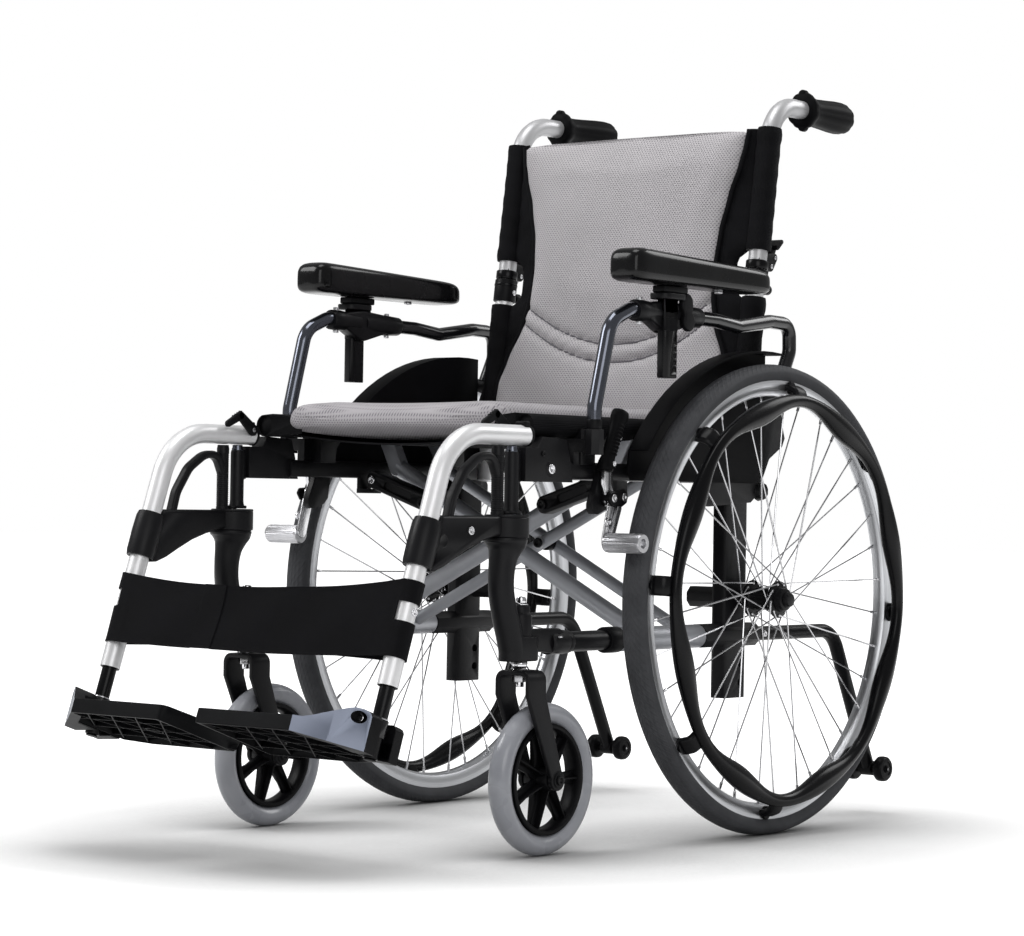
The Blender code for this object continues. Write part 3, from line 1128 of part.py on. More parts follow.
def calf_strap():
    high = (STRAP_TOP_Z - FOOT_Z) / cos(HANGER_LEAN)
    low = (STRAP_LOW_Z - FOOT_Z) / cos(HANGER_LEAN)
    inner = HANGER_R + 0.0007
    outer = inner + STRAP_THICK

    def loop(radius, grow):
        outline = hull([(-SIDE_X, 0, radius), (SIDE_X, 0, radius)], 4)
        return foot_prism(outline, low - grow, high + grow)
    node("calf_strap", fused([loop(outer, 0)], [loop(inner, 0.01)]), BLACK_SOFT)


clear_scene()
CHAIR = bpy.data.objects.new("chair_origin", None)
CHAIR.location = (0, CHAIR_Y, 0)
bpy.context.collection.objects.link(CHAIR)

BLACK = material("black_coat", (0.018, 0.018, 0.020), 0.42)
BLACK_GLOSS = material("handrim_black", (0.012, 0.012, 0.014), 0.22)
BLACK_SOFT = material("black_cloth", (0.020, 0.020, 0.022), 0.75)
RUBBER = material("grip_rubber", (0.025, 0.025, 0.027), 0.6)
TYRE_BLACK = material("tyre_black", (0.050, 0.052, 0.058), 0.7)
TYRE_GREY = material("caster_grey", (0.36, 0.37, 0.40), 0.5)
SILVER = material("satin_silver", (0.72, 0.73, 0.76), 0.35, 0.7)
BRACE_SILVER = material("brace_silver", (0.36, 0.38, 0.42), 0.40, 0.6)
GREY = material("dark_metal", (0.20, 0.21, 0.24), 0.35, 0.7)
CHROME = material("chrome", (0.80, 0.80, 0.82), 0.12, 1.0)
ALLOY = material("rim_alloy", (0.62, 0.63, 0.66), 0.35, 0.8)
MESH_GREY = material("seat_mesh", (0.52, 0.50, 0.50), 0.85)

front_post()
upper_rail()
lower_rail()
axle_plate()
back_post()
back_cane()
push_grip()
back_latch()
armrest()
side_guard()
brake()
hanger()
footrest()
caster()
rear_wheel()
handrim()
anti_tipper()
brace(1)
brace(-1)
link_arm()
seat_cover()
back_cover("back_cover_lower", COVER_LOW_Z, COVER_JOIN_Z - FIT, COVER_LOW_Z + 0.001, SLEEVE_LOW_TOP_Z)
back_cover("back_cover_upper", COVER_JOIN_Z, COVER_TOP_Z, SLEEVE_UP_LOW_Z, COVER_TOP_Z - 0.001)
calf_strap()
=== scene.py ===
from math import cos, exp, pi, radians, sin, sqrt, tan

import bpy
from mathutils import Matrix, Vector


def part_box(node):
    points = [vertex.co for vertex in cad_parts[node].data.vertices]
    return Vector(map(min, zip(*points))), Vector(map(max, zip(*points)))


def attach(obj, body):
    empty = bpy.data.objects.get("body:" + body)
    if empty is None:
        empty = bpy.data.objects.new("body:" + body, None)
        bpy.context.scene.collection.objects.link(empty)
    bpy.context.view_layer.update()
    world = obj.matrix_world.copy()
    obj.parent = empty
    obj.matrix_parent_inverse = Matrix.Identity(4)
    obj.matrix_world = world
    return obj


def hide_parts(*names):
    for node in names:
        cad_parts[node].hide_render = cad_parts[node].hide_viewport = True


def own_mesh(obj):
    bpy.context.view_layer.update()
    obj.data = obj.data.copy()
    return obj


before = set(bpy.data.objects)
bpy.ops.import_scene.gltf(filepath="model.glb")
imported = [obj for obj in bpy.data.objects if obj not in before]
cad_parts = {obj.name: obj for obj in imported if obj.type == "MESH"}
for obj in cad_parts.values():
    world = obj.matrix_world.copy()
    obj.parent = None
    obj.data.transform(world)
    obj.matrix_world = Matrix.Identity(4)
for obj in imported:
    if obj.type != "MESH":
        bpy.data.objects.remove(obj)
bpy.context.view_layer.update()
tyre_low, tyre_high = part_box("rear_tyre_left")
AXLE_Y = (tyre_low.y + tyre_high.y) / 2

# Directions
ACROSS = (1, 0, 0)
ALONG = (0, 1, 0)
UP = (0, 0, 1)

# Side frame
SIDE_X = 0.226
LOWER_Z = 0.257
TUBE_R = 0.0125
RAIL_X = 0.2146
SEAT_Z = 0.519

# Wheels
WHEEL_R = 0.305
WHEEL_X = 0.2806
HUB_IN_X = 0.249
HUB_OUT_X = 0.308
SPOKES = 36
HANDRIM_R = 0.254
HANDRIM_X = 0.3160
HANDRIM_TABS = 8
HANDRIM_TURN = radians(4.5)
CASTER_R = 0.0924
CASTER_Y = -0.4043
FORK_TOP_Z = 0.2257
STEM_Y = -0.449
CAST_RIB_Y = -0.471

# Leg rests
PIVOT_Y = -0.479
HANGER_LEAN = radians(19.2)
HANGER_Z = 0.506
HANGER_CORNER_Y = -0.5879
HANGER_LOW_Z = 0.2146
SLEEVE_R = 0.0129
FOOT_Z = 0.1515
FLIP_N = 0.020
PLATE_TOE = 0.0885
PLATE_HEEL = -0.047
CHEEK_START_X = 0.1765
CHEEK_END_X = 0.243
CHEEK_END_U = 0.032

# Fold linkage
BRACE_ANGLE = radians(27.0)
BRACE_R = SIDE_X / cos(BRACE_ANGLE)
CROSS_Z = LOWER_Z + BRACE_R * sin(BRACE_ANGLE)

# Back and armrests
POST_X = 0.2135
CANE_TOP_Z = 0.9640
GRIP_END_Y = 0.293
GRIP_Z = 0.9692
GRIP_IN = 0.010
ARM_X = 0.253
ARM_TUBE_R = 0.0092
ARM_PIVOT = (0.060, 0.590)
PAD_X = 0.262
POST_Y = -0.2096


def lean_y(z):
    return 0.060 + 0.14 * (z - 0.76)


def hanger_y(z):
    return HANGER_CORNER_Y - (HANGER_Z - z) * tan(HANGER_LEAN)


# Working by hand: picking pieces up, shaping them and putting them down

def drop():
    if bpy.context.mode != "OBJECT":
        bpy.ops.object.mode_set(mode="OBJECT")
    bpy.ops.object.select_all(action="DESELECT")


def take(*pieces):
    drop()
    for piece in pieces:
        piece.select_set(True)
    bpy.context.view_layer.objects.active = pieces[0]


def work_on(piece):
    take(piece)
    bpy.ops.object.mode_set(mode="EDIT")
    bpy.ops.mesh.select_all(action="SELECT")


def true_up(piece, merge=0.00001):
    work_on(piece)
    bpy.ops.mesh.remove_doubles(threshold=merge)
    bpy.ops.mesh.normals_make_consistent(inside=False)
    drop()
    return piece


def modified(piece, kind, **settings):
    # Puts a modifier with these settings on the piece and applies it.
    take(piece)
    tool = piece.modifiers.new(kind.lower(), kind)
    for key, value in settings.items():
        setattr(tool, key, value)
    bpy.ops.object.modifier_apply(modifier=tool.name)
    return piece


def ease_edges(piece, width, segments=2, angle=35):
    # Rounds every edge sharper than the angle.
    if width:
        modified(piece, "BEVEL", width=width, segments=segments, limit_method="ANGLE",
                 angle_limit=radians(angle), use_clamp_overlap=True)
    return piece


def rounder(piece, levels=1):
    return modified(piece, "SUBSURF", levels=levels, render_levels=levels)


def shade(piece, angle=38):
    take(piece)
    bpy.ops.object.shade_smooth_by_angle(angle=radians(angle))
    return piece


def paint(piece, finish):
    piece.data.materials.clear()
    piece.data.materials.append(finish)
    return piece


def join(*pieces):
    take(*pieces)
    bpy.ops.object.join()
    return bpy.context.object


def cut_away(piece, *cutters):
    for cutter in cutters:
        modified(piece, "BOOLEAN", operation="DIFFERENCE", solver="EXACT", object=cutter)
        bpy.data.objects.remove(cutter)
    return piece


def merged(piece, other):
    modified(piece, "BOOLEAN", operation="UNION", solver="EXACT", object=other)
    bpy.data.objects.remove(other)
    return piece


def copied(piece, move=Matrix.Identity(4)):
    twin = piece.copy()
    twin.data = piece.data.copy()
    bpy.context.collection.objects.link(twin)
    twin.data.transform(move)
    return twin


def ring_of(piece, count, centre, start=0.0):
    # The piece repeated round a line across the chair, as one.
    home = Matrix.Translation(Vector(centre))
    runs = []
    for i in range(count):
        turn = Matrix.Rotation(start + 2 * pi * i / count, 4, "X")
        runs.append(copied(piece, home @ turn @ home.inverted()))
    bpy.data.objects.remove(piece)
    return join(*runs)


def mirrored(piece):
    twin = copied(piece, Matrix.Scale(-1, 4, ACROSS))
    work_on(twin)
    bpy.ops.mesh.flip_normals()
    drop()
    return twin


def settle(piece, name, body, nodes=()):
    # Names a piece made of painted parts, puts it in its place and lets it ride there for its nodes.
    drop()
    piece.name = name
    piece.data.name = name
    piece.data.transform(Matrix.Translation((0, AXLE_Y, 0)) @ piece.matrix_basis)
    piece.matrix_basis = Matrix.Identity(4)
    nodes = nodes or [name]
    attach(piece, body)
    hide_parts(*nodes)


def side_body(body, side):
    return f"{side}_side" if body == "side" else f"{body}_{side}"


def settle_both(piece, name, body, node=None):
    # The left piece and its mirrored twin, each for the node of its own side.
    twin = mirrored(piece)
    for item, side in ((piece, "left"), (twin, "right")):
        settle(item, f"{name}_{side}", side_body(body, side), [f"{node or name}_{side}"])


# Stock shapes

def outline(points, filled=True):
    # A ring of edges pulled out to the points.
    drop()
    bpy.ops.mesh.primitive_circle_add(vertices=len(points), radius=0.01,
                                      fill_type="NGON" if filled else "NOTHING")
    piece = bpy.context.object
    for vertex, point in zip(piece.data.vertices, points):
        vertex.co = point
    return piece


def plate(points, reach, finish, ease=0.0008, segments=2):
    # An outline extruded into a plate, with its edges eased.
    piece = outline(points)
    work_on(piece)
    bpy.ops.mesh.extrude_region_move(TRANSFORM_OT_translate={"value": reach})
    bpy.ops.mesh.select_all(action="SELECT")
    bpy.ops.mesh.normals_make_consistent(inside=False)
    drop()
    ease_edges(piece, ease, segments)
    return paint(shade(piece), finish)


def side_plate(points, x0, x1, finish, ease=0.0008, segments=2):
    return plate([(x0, y, z) for y, z in points], (x1 - x0, 0, 0), finish, ease, segments)


def block(low, high, finish, ease=0.0015, segments=3):
    size = [b - a for a, b in zip(low, high)]
    middle = [(a + b) / 2 for a, b in zip(low, high)]
    drop()
    bpy.ops.mesh.primitive_cube_add(size=1, location=middle)
    piece = bpy.context.object
    piece.scale = size
    bpy.ops.object.transform_apply(location=True, rotation=True, scale=True)
    ease_edges(piece, ease, segments)
    return paint(shade(piece), finish)


def stood_at(place, axis):
    # The move that stands an upright piece at the place, along the axis.
    return Matrix.Translation(Vector(place)) @ Vector(axis).to_track_quat("Z", "Y").to_matrix().to_4x4()


def peg(start, end, radius, finish, sides=28, ease=0.0008):
    # A round bar between two points.
    start, end = Vector(start), Vector(end)
    drop()
    bpy.ops.mesh.primitive_cone_add(vertices=sides, radius1=radius, radius2=radius, depth=(end - start).length)
    piece = bpy.context.object
    piece.data.transform(stood_at((start + end) / 2, end - start))
    ease_edges(piece, ease)
    return paint(shade(piece), finish)


def spun(profile, centre, axis, finish, steps=64, angle=38):
    # A closed profile of (radius, height) pairs spun about the axis.
    piece = outline([(r, 0, h) for r, h in profile], filled=False)
    work_on(piece)
    bpy.ops.mesh.spin(steps=steps, angle=2 * pi, center=(0, 0, 0), axis=UP, use_auto_merge=True)
    bpy.ops.mesh.select_all(action="SELECT")
    bpy.ops.mesh.remove_doubles(threshold=0.00002)
    bpy.ops.mesh.dissolve_degenerate(threshold=0.000001)
    bpy.ops.mesh.normals_make_consistent(inside=False)
    drop()
    piece.data.transform(stood_at(centre, axis))
    return paint(shade(piece, angle), finish)


def swell(depth):
    # A quarter round: how full an edge is, from 0 at its rim to 1 where the depth is 1 or more.
    return sqrt(max(0.0, 1 - (1 - min(1.0, depth)) ** 2))


def both_ways(half, middle=()):
    # A profile that is the same on both sides of its middle.
    return half + list(middle) + [(r, -h) for r, h in half[::-1]]


def rounded(points, radius, steps=6):
    # The route through the points with each inner corner rounded.
    points = [Vector(p) for p in points]
    route = [points[0]]
    for before, corner, after in zip(points, points[1:], points[2:]):
        a = (before - corner).normalized()
        b = (after - corner).normalized()
        half = a.angle(b) / 2
        reach = min(radius / tan(half), 0.49 * (before - corner).length, 0.49 * (after - corner).length)
        turn_r = reach * tan(half)
        centre = corner + (a + b).normalized() * (turn_r / sin(half))
        start = (corner + a * reach - centre).normalized()
        end = (corner + b * reach - centre).normalized()
        for i in range(steps + 1):
            route.append(centre + start.slerp(end, i / steps).normalized() * turn_r)
    route.append(points[-1])
    return route


def flowing(points, radii, steps=5):
    # A route that flows through every point, with its radii.
    route, widths = [], []
    count = len(points)
    for i in range(count - 1):
        p0, p1, p2, p3 = (Vector(points[max(0, min(count - 1, k))]) for k in (i - 1, i, i + 1, i + 2))
        r0, r1, r2, r3 = (radii[max(0, min(count - 1, k))] for k in (i - 1, i, i + 1, i + 2))
        for s in range(steps):
            t = s / steps
            w = (-0.5 * t + t * t - 0.5 * t ** 3, 1 - 2.5 * t * t + 1.5 * t ** 3,
                 0.5 * t + 2 * t * t - 1.5 * t ** 3, -0.5 * t * t + 0.5 * t ** 3)
            route.append(p0 * w[0] + p1 * w[1] + p2 * w[2] + p3 * w[3])
            widths.append(r0 * w[0] + r1 * w[1] + r2 * w[2] + r3 * w[3])
    return route + [Vector(points[-1])], widths + [radii[-1]]


def pipe(route, radius, finish, radii=None, sides=5, angle=50):
    # A round tube bent along the route, drawn as a curve and made a mesh.
    drop()
    bpy.ops.curve.primitive_bezier_curve_add()
    piece = bpy.context.object
    curve = piece.data
    curve.splines.clear()
    spline = curve.splines.new("POLY")
    spline.points.add(len(route) - 1)
    for i, (point, spot) in enumerate(zip(spline.points, route)):
        point.co = (*spot, 1)
        point.radius = 1.0 if radii is None else radii[i] / radius
    spline.use_smooth = True
    curve.dimensions = "3D"
    curve.bevel_depth = radius
    curve.bevel_resolution = sides
    curve.use_fill_caps = True
    take(piece)
    bpy.ops.object.convert(target="MESH")
    piece = bpy.context.object
    true_up(piece)
    return paint(shade(piece, angle), finish)


def lofted(rings, finish, closed=False, caps=True, angle=45, levels=0):
    # A skin laid over rings that have the same number of points, from a bent sheet of faces.
    count = len(rings[0])
    rows = len(rings) + (1 if closed else 0)
    drop()
    bpy.ops.mesh.primitive_grid_add(x_subdivisions=count, y_subdivisions=rows - 1, size=1)
    piece = bpy.context.object
    for i, vertex in enumerate(piece.data.vertices):
        row, column = divmod(i, count + 1)
        vertex.co = rings[row % len(rings)][column % count]
    true_up(piece)
    if caps and not closed:
        work_on(piece)
        bpy.ops.mesh.select_all(action="DESELECT")
        bpy.ops.mesh.select_mode(type="EDGE")
        bpy.ops.mesh.select_non_manifold()
        bpy.ops.mesh.fill_holes(sides=0)
        bpy.ops.mesh.select_mode(type="VERT")
        bpy.ops.mesh.select_all(action="SELECT")
        bpy.ops.mesh.normals_make_consistent(inside=False)
        drop()
    if levels:
        rounder(piece, levels)
    return paint(shade(piece, angle), finish)


def round_box(wide, tall, corner, steps=5):
    points = []
    for quarter, (sx, sy) in enumerate(((1, 1), (-1, 1), (-1, -1), (1, -1))):
        for i in range(steps + 1):
            a = (quarter + i / steps) * pi / 2
            points.append((sx * (wide - corner) + corner * cos(a), sy * (tall - corner) + corner * sin(a)))
    return points


def hull(circles, steps=8):
    # The outline of a strap drawn tight round circles given as (u, v, radius).
    points = []
    for u, v, r in circles:
        points += [(u + r * cos(pi * (i + 0.5) / (2 * steps)), v + r * sin(pi * (i + 0.5) / (2 * steps)))
                   for i in range(4 * steps)]
    points.sort()

    def half(run):
        chain = []
        for p in run:
            while len(chain) > 1 and ((chain[-1][0] - chain[-2][0]) * (p[1] - chain[-2][1])
                                      - (chain[-1][1] - chain[-2][1]) * (p[0] - chain[-2][0])) <= 0:
                chain.pop()
            chain.append(p)
        return chain[:-1]
    return half(points) + half(points[::-1])


def swept(route, section, first, finish, angle=45):
    # A section, or one for each point, carried along a route.
    rings = []
    first = Vector(first)
    for i, point in enumerate(route):
        along = (Vector(route[min(i + 1, len(route) - 1)]) - Vector(route[max(i - 1, 0)])).normalized()
        across = (first - along * first.dot(along)).normalized()
        up = along.cross(across)
        shape = section if isinstance(section[0], tuple) else section[i]
        rings.append([Vector(point) + across * u + up * v for u, v in shape])
    return lofted(rings, finish, angle=angle)


def oval(wide, tall, sides=24):
    return [(wide * cos(2 * pi * i / sides), tall * sin(2 * pi * i / sides)) for i in range(sides)]


def screw(at, axis, radius, finish, height=0.003, socket=0.5):
    # A round-headed screw with a six-sided socket.
    axis = Vector(axis).normalized()
    drop()
    bpy.ops.mesh.primitive_cylinder_add(vertices=24, radius=radius, depth=height)
    piece = bpy.context.object
    work_on(piece)
    bpy.ops.mesh.select_all(action="DESELECT")
    bpy.ops.object.mode_set(mode="OBJECT")
    for face in piece.data.polygons:
        face.select = face.normal.z > 0.9
    bpy.ops.object.mode_set(mode="EDIT")
    bpy.ops.mesh.inset(thickness=radius * (1 - socket))
    bpy.ops.mesh.extrude_region_move(TRANSFORM_OT_translate={"value": (0, 0, -height * 0.6)})
    bpy.ops.transform.resize(value=(0.92, 0.92, 1), center_override=(0, 0, 0))
    drop()
    ease_edges(piece, radius * 0.16, 3, 40)
    piece.data.transform(stood_at(Vector(at) + axis * (height / 2), axis))
    return paint(shade(piece), finish)


def eased_copy(node, finish, width=0.0008, segments=2):
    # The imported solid's own shape with its edges eased.
    piece = copied(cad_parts[node], Matrix.Translation((0, -AXLE_Y, 0)))
    piece.parent = None
    for key in list(piece.keys()):
        del piece[key]
    piece.hide_render = False
    work_on(piece)
    bpy.ops.mesh.remove_doubles(threshold=0.00002)
    bpy.ops.mesh.dissolve_limited(angle_limit=radians(1.0))
    bpy.ops.mesh.normals_make_consistent(inside=False)
    drop()
    ease_edges(piece, width, segments, 40)
    return paint(shade(piece, 40), finish)


# Finishes. Each reads Object coordinates, so its pattern is the same size everywhere.

def fresh(name, color, roughness, metallic=0.0, shine=0.28):
    finish = bpy.data.materials.new(name)
    finish.use_nodes = True
    shader = finish.node_tree.nodes["Principled BSDF"]
    shader.inputs["Base Color"].default_value = (*color, 1)
    shader.inputs["Roughness"].default_value = roughness
    shader.inputs["Metallic"].default_value = metallic
    shader.inputs["Specular IOR Level"].default_value = shine if metallic == 0.0 else 0.5
    return finish, shader


def wire(finish, kind, **settings):
    # A new node, its named inputs set or linked.
    node = finish.node_tree.nodes.new(kind)
    for key, value in settings.items():
        if key.startswith("at_"):
            setattr(node, key[3:], value)
            continue
        name = key.replace("_", " ")
        socket = node.inputs[int(key[2:])] if key.startswith("in") and key[2:].isdigit() else node.inputs[name]
        if isinstance(value, bpy.types.NodeSocket):
            finish.node_tree.links.new(value, socket)
        else:
            socket.default_value = value
    return node


def sums(finish, operation, a, b=0.0, c=0.0):
    return wire(finish, "ShaderNodeMath", at_operation=operation, in0=a, in1=b, in2=c).outputs[0]


def coordinates(finish):
    return wire(finish, "ShaderNodeTexCoord").outputs["Object"]


def distance(finish, u, v):
    squares = [sums(finish, "MULTIPLY", way, way) for way in (u, v)]
    return sums(finish, "SQRT", sums(finish, "ADD", *squares))


def from_axle(finish, centre):
    # Object coordinates from a wheel's centre, and the distance from its axle.
    spot = wire(finish, "ShaderNodeMapping", Vector=coordinates(finish), Location=[-c for c in centre]).outputs[0]
    parts = wire(finish, "ShaderNodeSeparateXYZ", Vector=spot).outputs
    return parts, distance(finish, parts[1], parts[2])


def grain(finish, scale, detail=3.0, where=None):
    where = coordinates(finish) if where is None else where
    return wire(finish, "ShaderNodeTexNoise", Vector=where, Scale=scale, Detail=detail,
                Roughness=0.55).outputs["Fac"]


def spread(finish, value, low, high, from_low=0.3, from_high=0.7):
    return wire(finish, "ShaderNodeMapRange", Value=value, From_Min=from_low, From_Max=from_high, To_Min=low,
                To_Max=high).outputs[0]


def blend_colors(finish, amount, one, two):
    node = finish.node_tree.nodes.new("ShaderNodeMix")
    node.data_type = "RGBA"
    finish.node_tree.links.new(amount, node.inputs[0])
    for slot, color in ((6, one), (7, two)):
        if isinstance(color, bpy.types.NodeSocket):
            finish.node_tree.links.new(color, node.inputs[slot])
        else:
            node.inputs[slot].default_value = (*color, 1)
    return node.outputs[2]


def tinted(finish, shader, amount, color, other):
    # The base colour, mixed from two where the amount rises.
    mixed = blend_colors(finish, spread(finish, amount, 0.0, 1.0), color, other)
    finish.node_tree.links.new(mixed, shader.inputs["Base Color"])


def uneven(finish, shader, amount, smooth, rough):
    finish.node_tree.links.new(spread(finish, amount, smooth, rough), shader.inputs["Roughness"])


def bumped(finish, shader, height, depth, strength=1.0):
    node = wire(finish, "ShaderNodeBump", Height=height, Distance=depth, Strength=strength)
    finish.node_tree.links.new(node.outputs[0], shader.inputs["Normal"])


def painted(name, color, worn, roughness, metallic=0.0, coat=0.0, texture=900.0, depth=0.00004, spread_by=0.06,
            shine=0.10):
    # Paint or moulded plastic: fine texture, uneven gloss and a slightly lighter, worn tone.
    finish, shader = fresh(name, color, roughness, metallic, shine)
    broad = grain(finish, 14.0)
    tinted(finish, shader, broad, color, worn)
    uneven(finish, shader, broad, roughness - spread_by, roughness + spread_by)
    shader.inputs["Coat Weight"].default_value = coat
    shader.inputs["Coat Roughness"].default_value = 0.18
    bumped(finish, shader, grain(finish, texture, 2.0), depth)
    return finish


def brushed(name, color, darker, roughness, centre):
    # Metal with fine lines turned round the centre.
    finish, shader = fresh(name, color, roughness, 1.0)
    parts, away = from_axle(finish, centre)
    lines = wire(finish, "ShaderNodeCombineXYZ", X=sums(finish, "MULTIPLY", away, 700.0),
                 Y=sums(finish, "MULTIPLY", parts[0], 500.0)).outputs[0]
    streak = grain(finish, 1.0, 3.0, lines)
    tinted(finish, shader, streak, color, darker)
    uneven(finish, shader, streak, roughness - 0.05, roughness + 0.08)
    bumped(finish, shader, streak, 0.00003)
    return finish


MESH_PITCH = 0.0046


def spacer_mesh(name, color, eye_shade, lying):
    # Knitted spacer cloth: staggered rows of small eyes between plump threads. The rows climb with z, and on
    # a lying panel with y - z, so that they carry on down its front roll.
    finish, shader = fresh(name, color, 0.86)
    x, y, z = wire(finish, "ShaderNodeSeparateXYZ", Vector=coordinates(finish)).outputs
    climb = sums(finish, "SUBTRACT", y, z) if lying else z
    u = sums(finish, "DIVIDE", x, MESH_PITCH)
    v = sums(finish, "DIVIDE", climb, MESH_PITCH * 0.62)
    odd = sums(finish, "FRACT", sums(finish, "MULTIPLY", sums(finish, "FLOOR", v), 0.5))
    cell_u = sums(finish, "SUBTRACT", sums(finish, "FRACT", sums(finish, "ADD", u, odd)), 0.5)
    cell_v = sums(finish, "SUBTRACT", sums(finish, "FRACT", v), 0.5)
    away = distance(finish, sums(finish, "MULTIPLY", cell_u, 1.35), cell_v)
    eye = spread(finish, away, 1.0, 0.0, 0.16, 0.40)
    broad = spread(finish, grain(finish, 9.0), 0.0, 1.0)
    light = blend_colors(finish, broad, color, [c * 0.90 for c in color])
    # The eyes are painted darker: painted shade standing for the open holes, which are only a bump here.
    finish.node_tree.links.new(blend_colors(finish, eye, light, eye_shade), shader.inputs["Base Color"])
    shader.inputs["Sheen Weight"].default_value = 0.12
    shader.inputs["Sheen Roughness"].default_value = 0.45
    lint = grain(finish, 1500.0, 2.0)
    height = sums(finish, "SUBTRACT", sums(finish, "MULTIPLY", lint, 0.25), eye)
    bumped(finish, shader, height, 0.0006, 0.9)
    return finish


def woven(name, color, lighter, lying, pitch, depth):
    # Plain woven nylon: warp and weft that pass over each other.
    finish, shader = fresh(name, color, 0.72, 0.0, 0.07)
    x, y, z = wire(finish, "ShaderNodeSeparateXYZ", Vector=coordinates(finish)).outputs
    warp, weft = [sums(finish, "SINE", sums(finish, "MULTIPLY", way, 2 * pi / pitch))
                  for way in (x, y if lying else z)]
    weave = sums(finish, "MULTIPLY", warp, weft)
    broad = grain(finish, 22.0, 4.0)
    # The weave's crowns are painted lighter, a painted highlight on the threads, over a random broad tone.
    tinted(finish, shader, sums(finish, "ADD", sums(finish, "MULTIPLY", weave, 0.18), broad), color, lighter)
    uneven(finish, shader, broad, 0.62, 0.82)
    bumped(finish, shader, weave, depth, 0.8)
    return finish


def tyre_rubber(name, color, lighter, centre, ribs):
    # Rubber with tread cuts round the wheel and a little dust.
    finish, shader = fresh(name, color, 0.7, 0.0, 0.2)
    parts, away = from_axle(finish, centre)
    turn = sums(finish, "ARCTAN2", parts[1], parts[2])
    side = sums(finish, "ABSOLUTE", parts[0])
    slant = sums(finish, "ADD", sums(finish, "MULTIPLY", turn, ribs), sums(finish, "MULTIPLY", side, 900.0))
    cuts = spread(finish, sums(finish, "SINE", slant), 0.0, 1.0, 0.35, 0.75)
    tread = spread(finish, away, 0.0, 1.0, WHEEL_R - 0.0075, WHEEL_R - 0.0045)
    ring = sums(finish, "SINE", sums(finish, "MULTIPLY", side, 1150.0))
    height = sums(finish, "MULTIPLY", sums(finish, "ADD", cuts, sums(finish, "MULTIPLY", ring, 0.4)), tread)
    dust = grain(finish, 30.0, 4.0)
    tinted(finish, shader, dust, color, lighter)
    uneven(finish, shader, dust, 0.58, 0.8)
    bumped(finish, shader, height, 0.0006, 0.8)
    return finish


def vinyl(name, color, lighter):
    # Padded armrest skin with a pebbled grain.
    finish, shader = fresh(name, color, 0.30, 0.0, 0.06)
    pebble = wire(finish, "ShaderNodeTexVoronoi", Vector=coordinates(finish), Scale=700.0).outputs["Distance"]
    broad = grain(finish, 18.0)
    tinted(finish, shader, broad, color, lighter)
    uneven(finish, shader, broad, 0.22, 0.32)
    shader.inputs["Coat Weight"].default_value = 0.35
    shader.inputs["Coat Roughness"].default_value = 0.11
    bumped(finish, shader, pebble, 0.00008, 0.5)
    return finish


LEFT_WHEEL = (WHEEL_X, AXLE_Y, WHEEL_R)
COAT = painted("frame_black", (0.0042, 0.0042, 0.0050), (0.0075, 0.0075, 0.0088), 0.34, coat=0.08, texture=700.0,
               depth=0.00005)
CAST = painted("cast_black", (0.0055, 0.0055, 0.0064), (0.0100, 0.0100, 0.0115), 0.40, texture=520.0,
               depth=0.00012, shine=0.15)
GUARD = painted("guard_black", (0.0028, 0.0028, 0.0033), (0.0050, 0.0050, 0.0058), 0.5, depth=0.00006, shine=0.035)
PLASTIC = painted("moulded_black", (0.0034, 0.0034, 0.0040), (0.0065, 0.0065, 0.0075), 0.42, texture=1100.0,
                  depth=0.00008)
GLOSS = painted("handrim_black", (0.0030, 0.0030, 0.0036), (0.0050, 0.0050, 0.0060), 0.26, coat=0.10,
                texture=300.0, depth=0.00002)
PLATE = painted("plate_black", (0.0035, 0.0037, 0.0042), (0.0065, 0.0068, 0.0078), 0.42, texture=800.0,
                depth=0.0001, shine=0.07)
# The cheek's slanted face is the same black plastic; this blue-grey is a painted sheen for the light that face catches.
CHEEK = painted("plate_grey", (0.14, 0.16, 0.215), (0.19, 0.215, 0.28), 0.34, 0.45, coat=0.2, depth=0.00003)
SILVER = painted("silver_lacquer", (0.82, 0.82, 0.83), (0.88, 0.88, 0.89), 0.42, 0.45, coat=0.12, texture=2200.0,
                 depth=0.00002, spread_by=0.03)
BLACK_TUBE = painted("black_tube", (0.006, 0.006, 0.007), (0.010, 0.010, 0.012), 0.22, coat=0.3, depth=0.000004,
                     spread_by=0.03, shine=0.3)
# The canes' silver is a darker copy of the frame's silver: painted shade.
CANE = painted("cane_silver", (0.50, 0.50, 0.51), (0.56, 0.56, 0.57), 0.42, 0.45, coat=0.12, texture=2200.0,
               depth=0.00002, spread_by=0.03)
# The braces' silver is a darker, bluer copy of the frame's silver: painted shade for tubes under the seat.
BRACE = painted("brace_silver", (0.36, 0.37, 0.40), (0.43, 0.44, 0.47), 0.42, 0.45, coat=0.12, texture=2200.0,
                depth=0.00002, spread_by=0.03)
DARK_TUBE = painted("dark_metal", (0.085, 0.092, 0.115), (0.110, 0.118, 0.142), 0.15, 0.92, coat=0.3,
                    depth=0.000003, spread_by=0.03)
CHROME = painted("bright_chrome", (0.70, 0.70, 0.72), (0.62, 0.62, 0.64), 0.14, 1.0, texture=600.0,
                 depth=0.00001, spread_by=0.03)
ZINC = painted("zinc_plate", (0.55, 0.55, 0.56), (0.42, 0.42, 0.44), 0.30, 1.0, texture=260.0, depth=0.00006)
STEEL = painted("spoke_steel", (0.62, 0.62, 0.63), (0.50, 0.50, 0.52), 0.26, 1.0, texture=400.0, depth=0.00001,
                spread_by=0.04)
RIM = brushed("rim_alloy", (0.62, 0.63, 0.65), (0.50, 0.51, 0.53), 0.32, LEFT_WHEEL)
GRIP = painted("grip_rubber", (0.0030, 0.0030, 0.0034), (0.0055, 0.0055, 0.0062), 0.50, texture=420.0,
               depth=0.0002, shine=0.045)
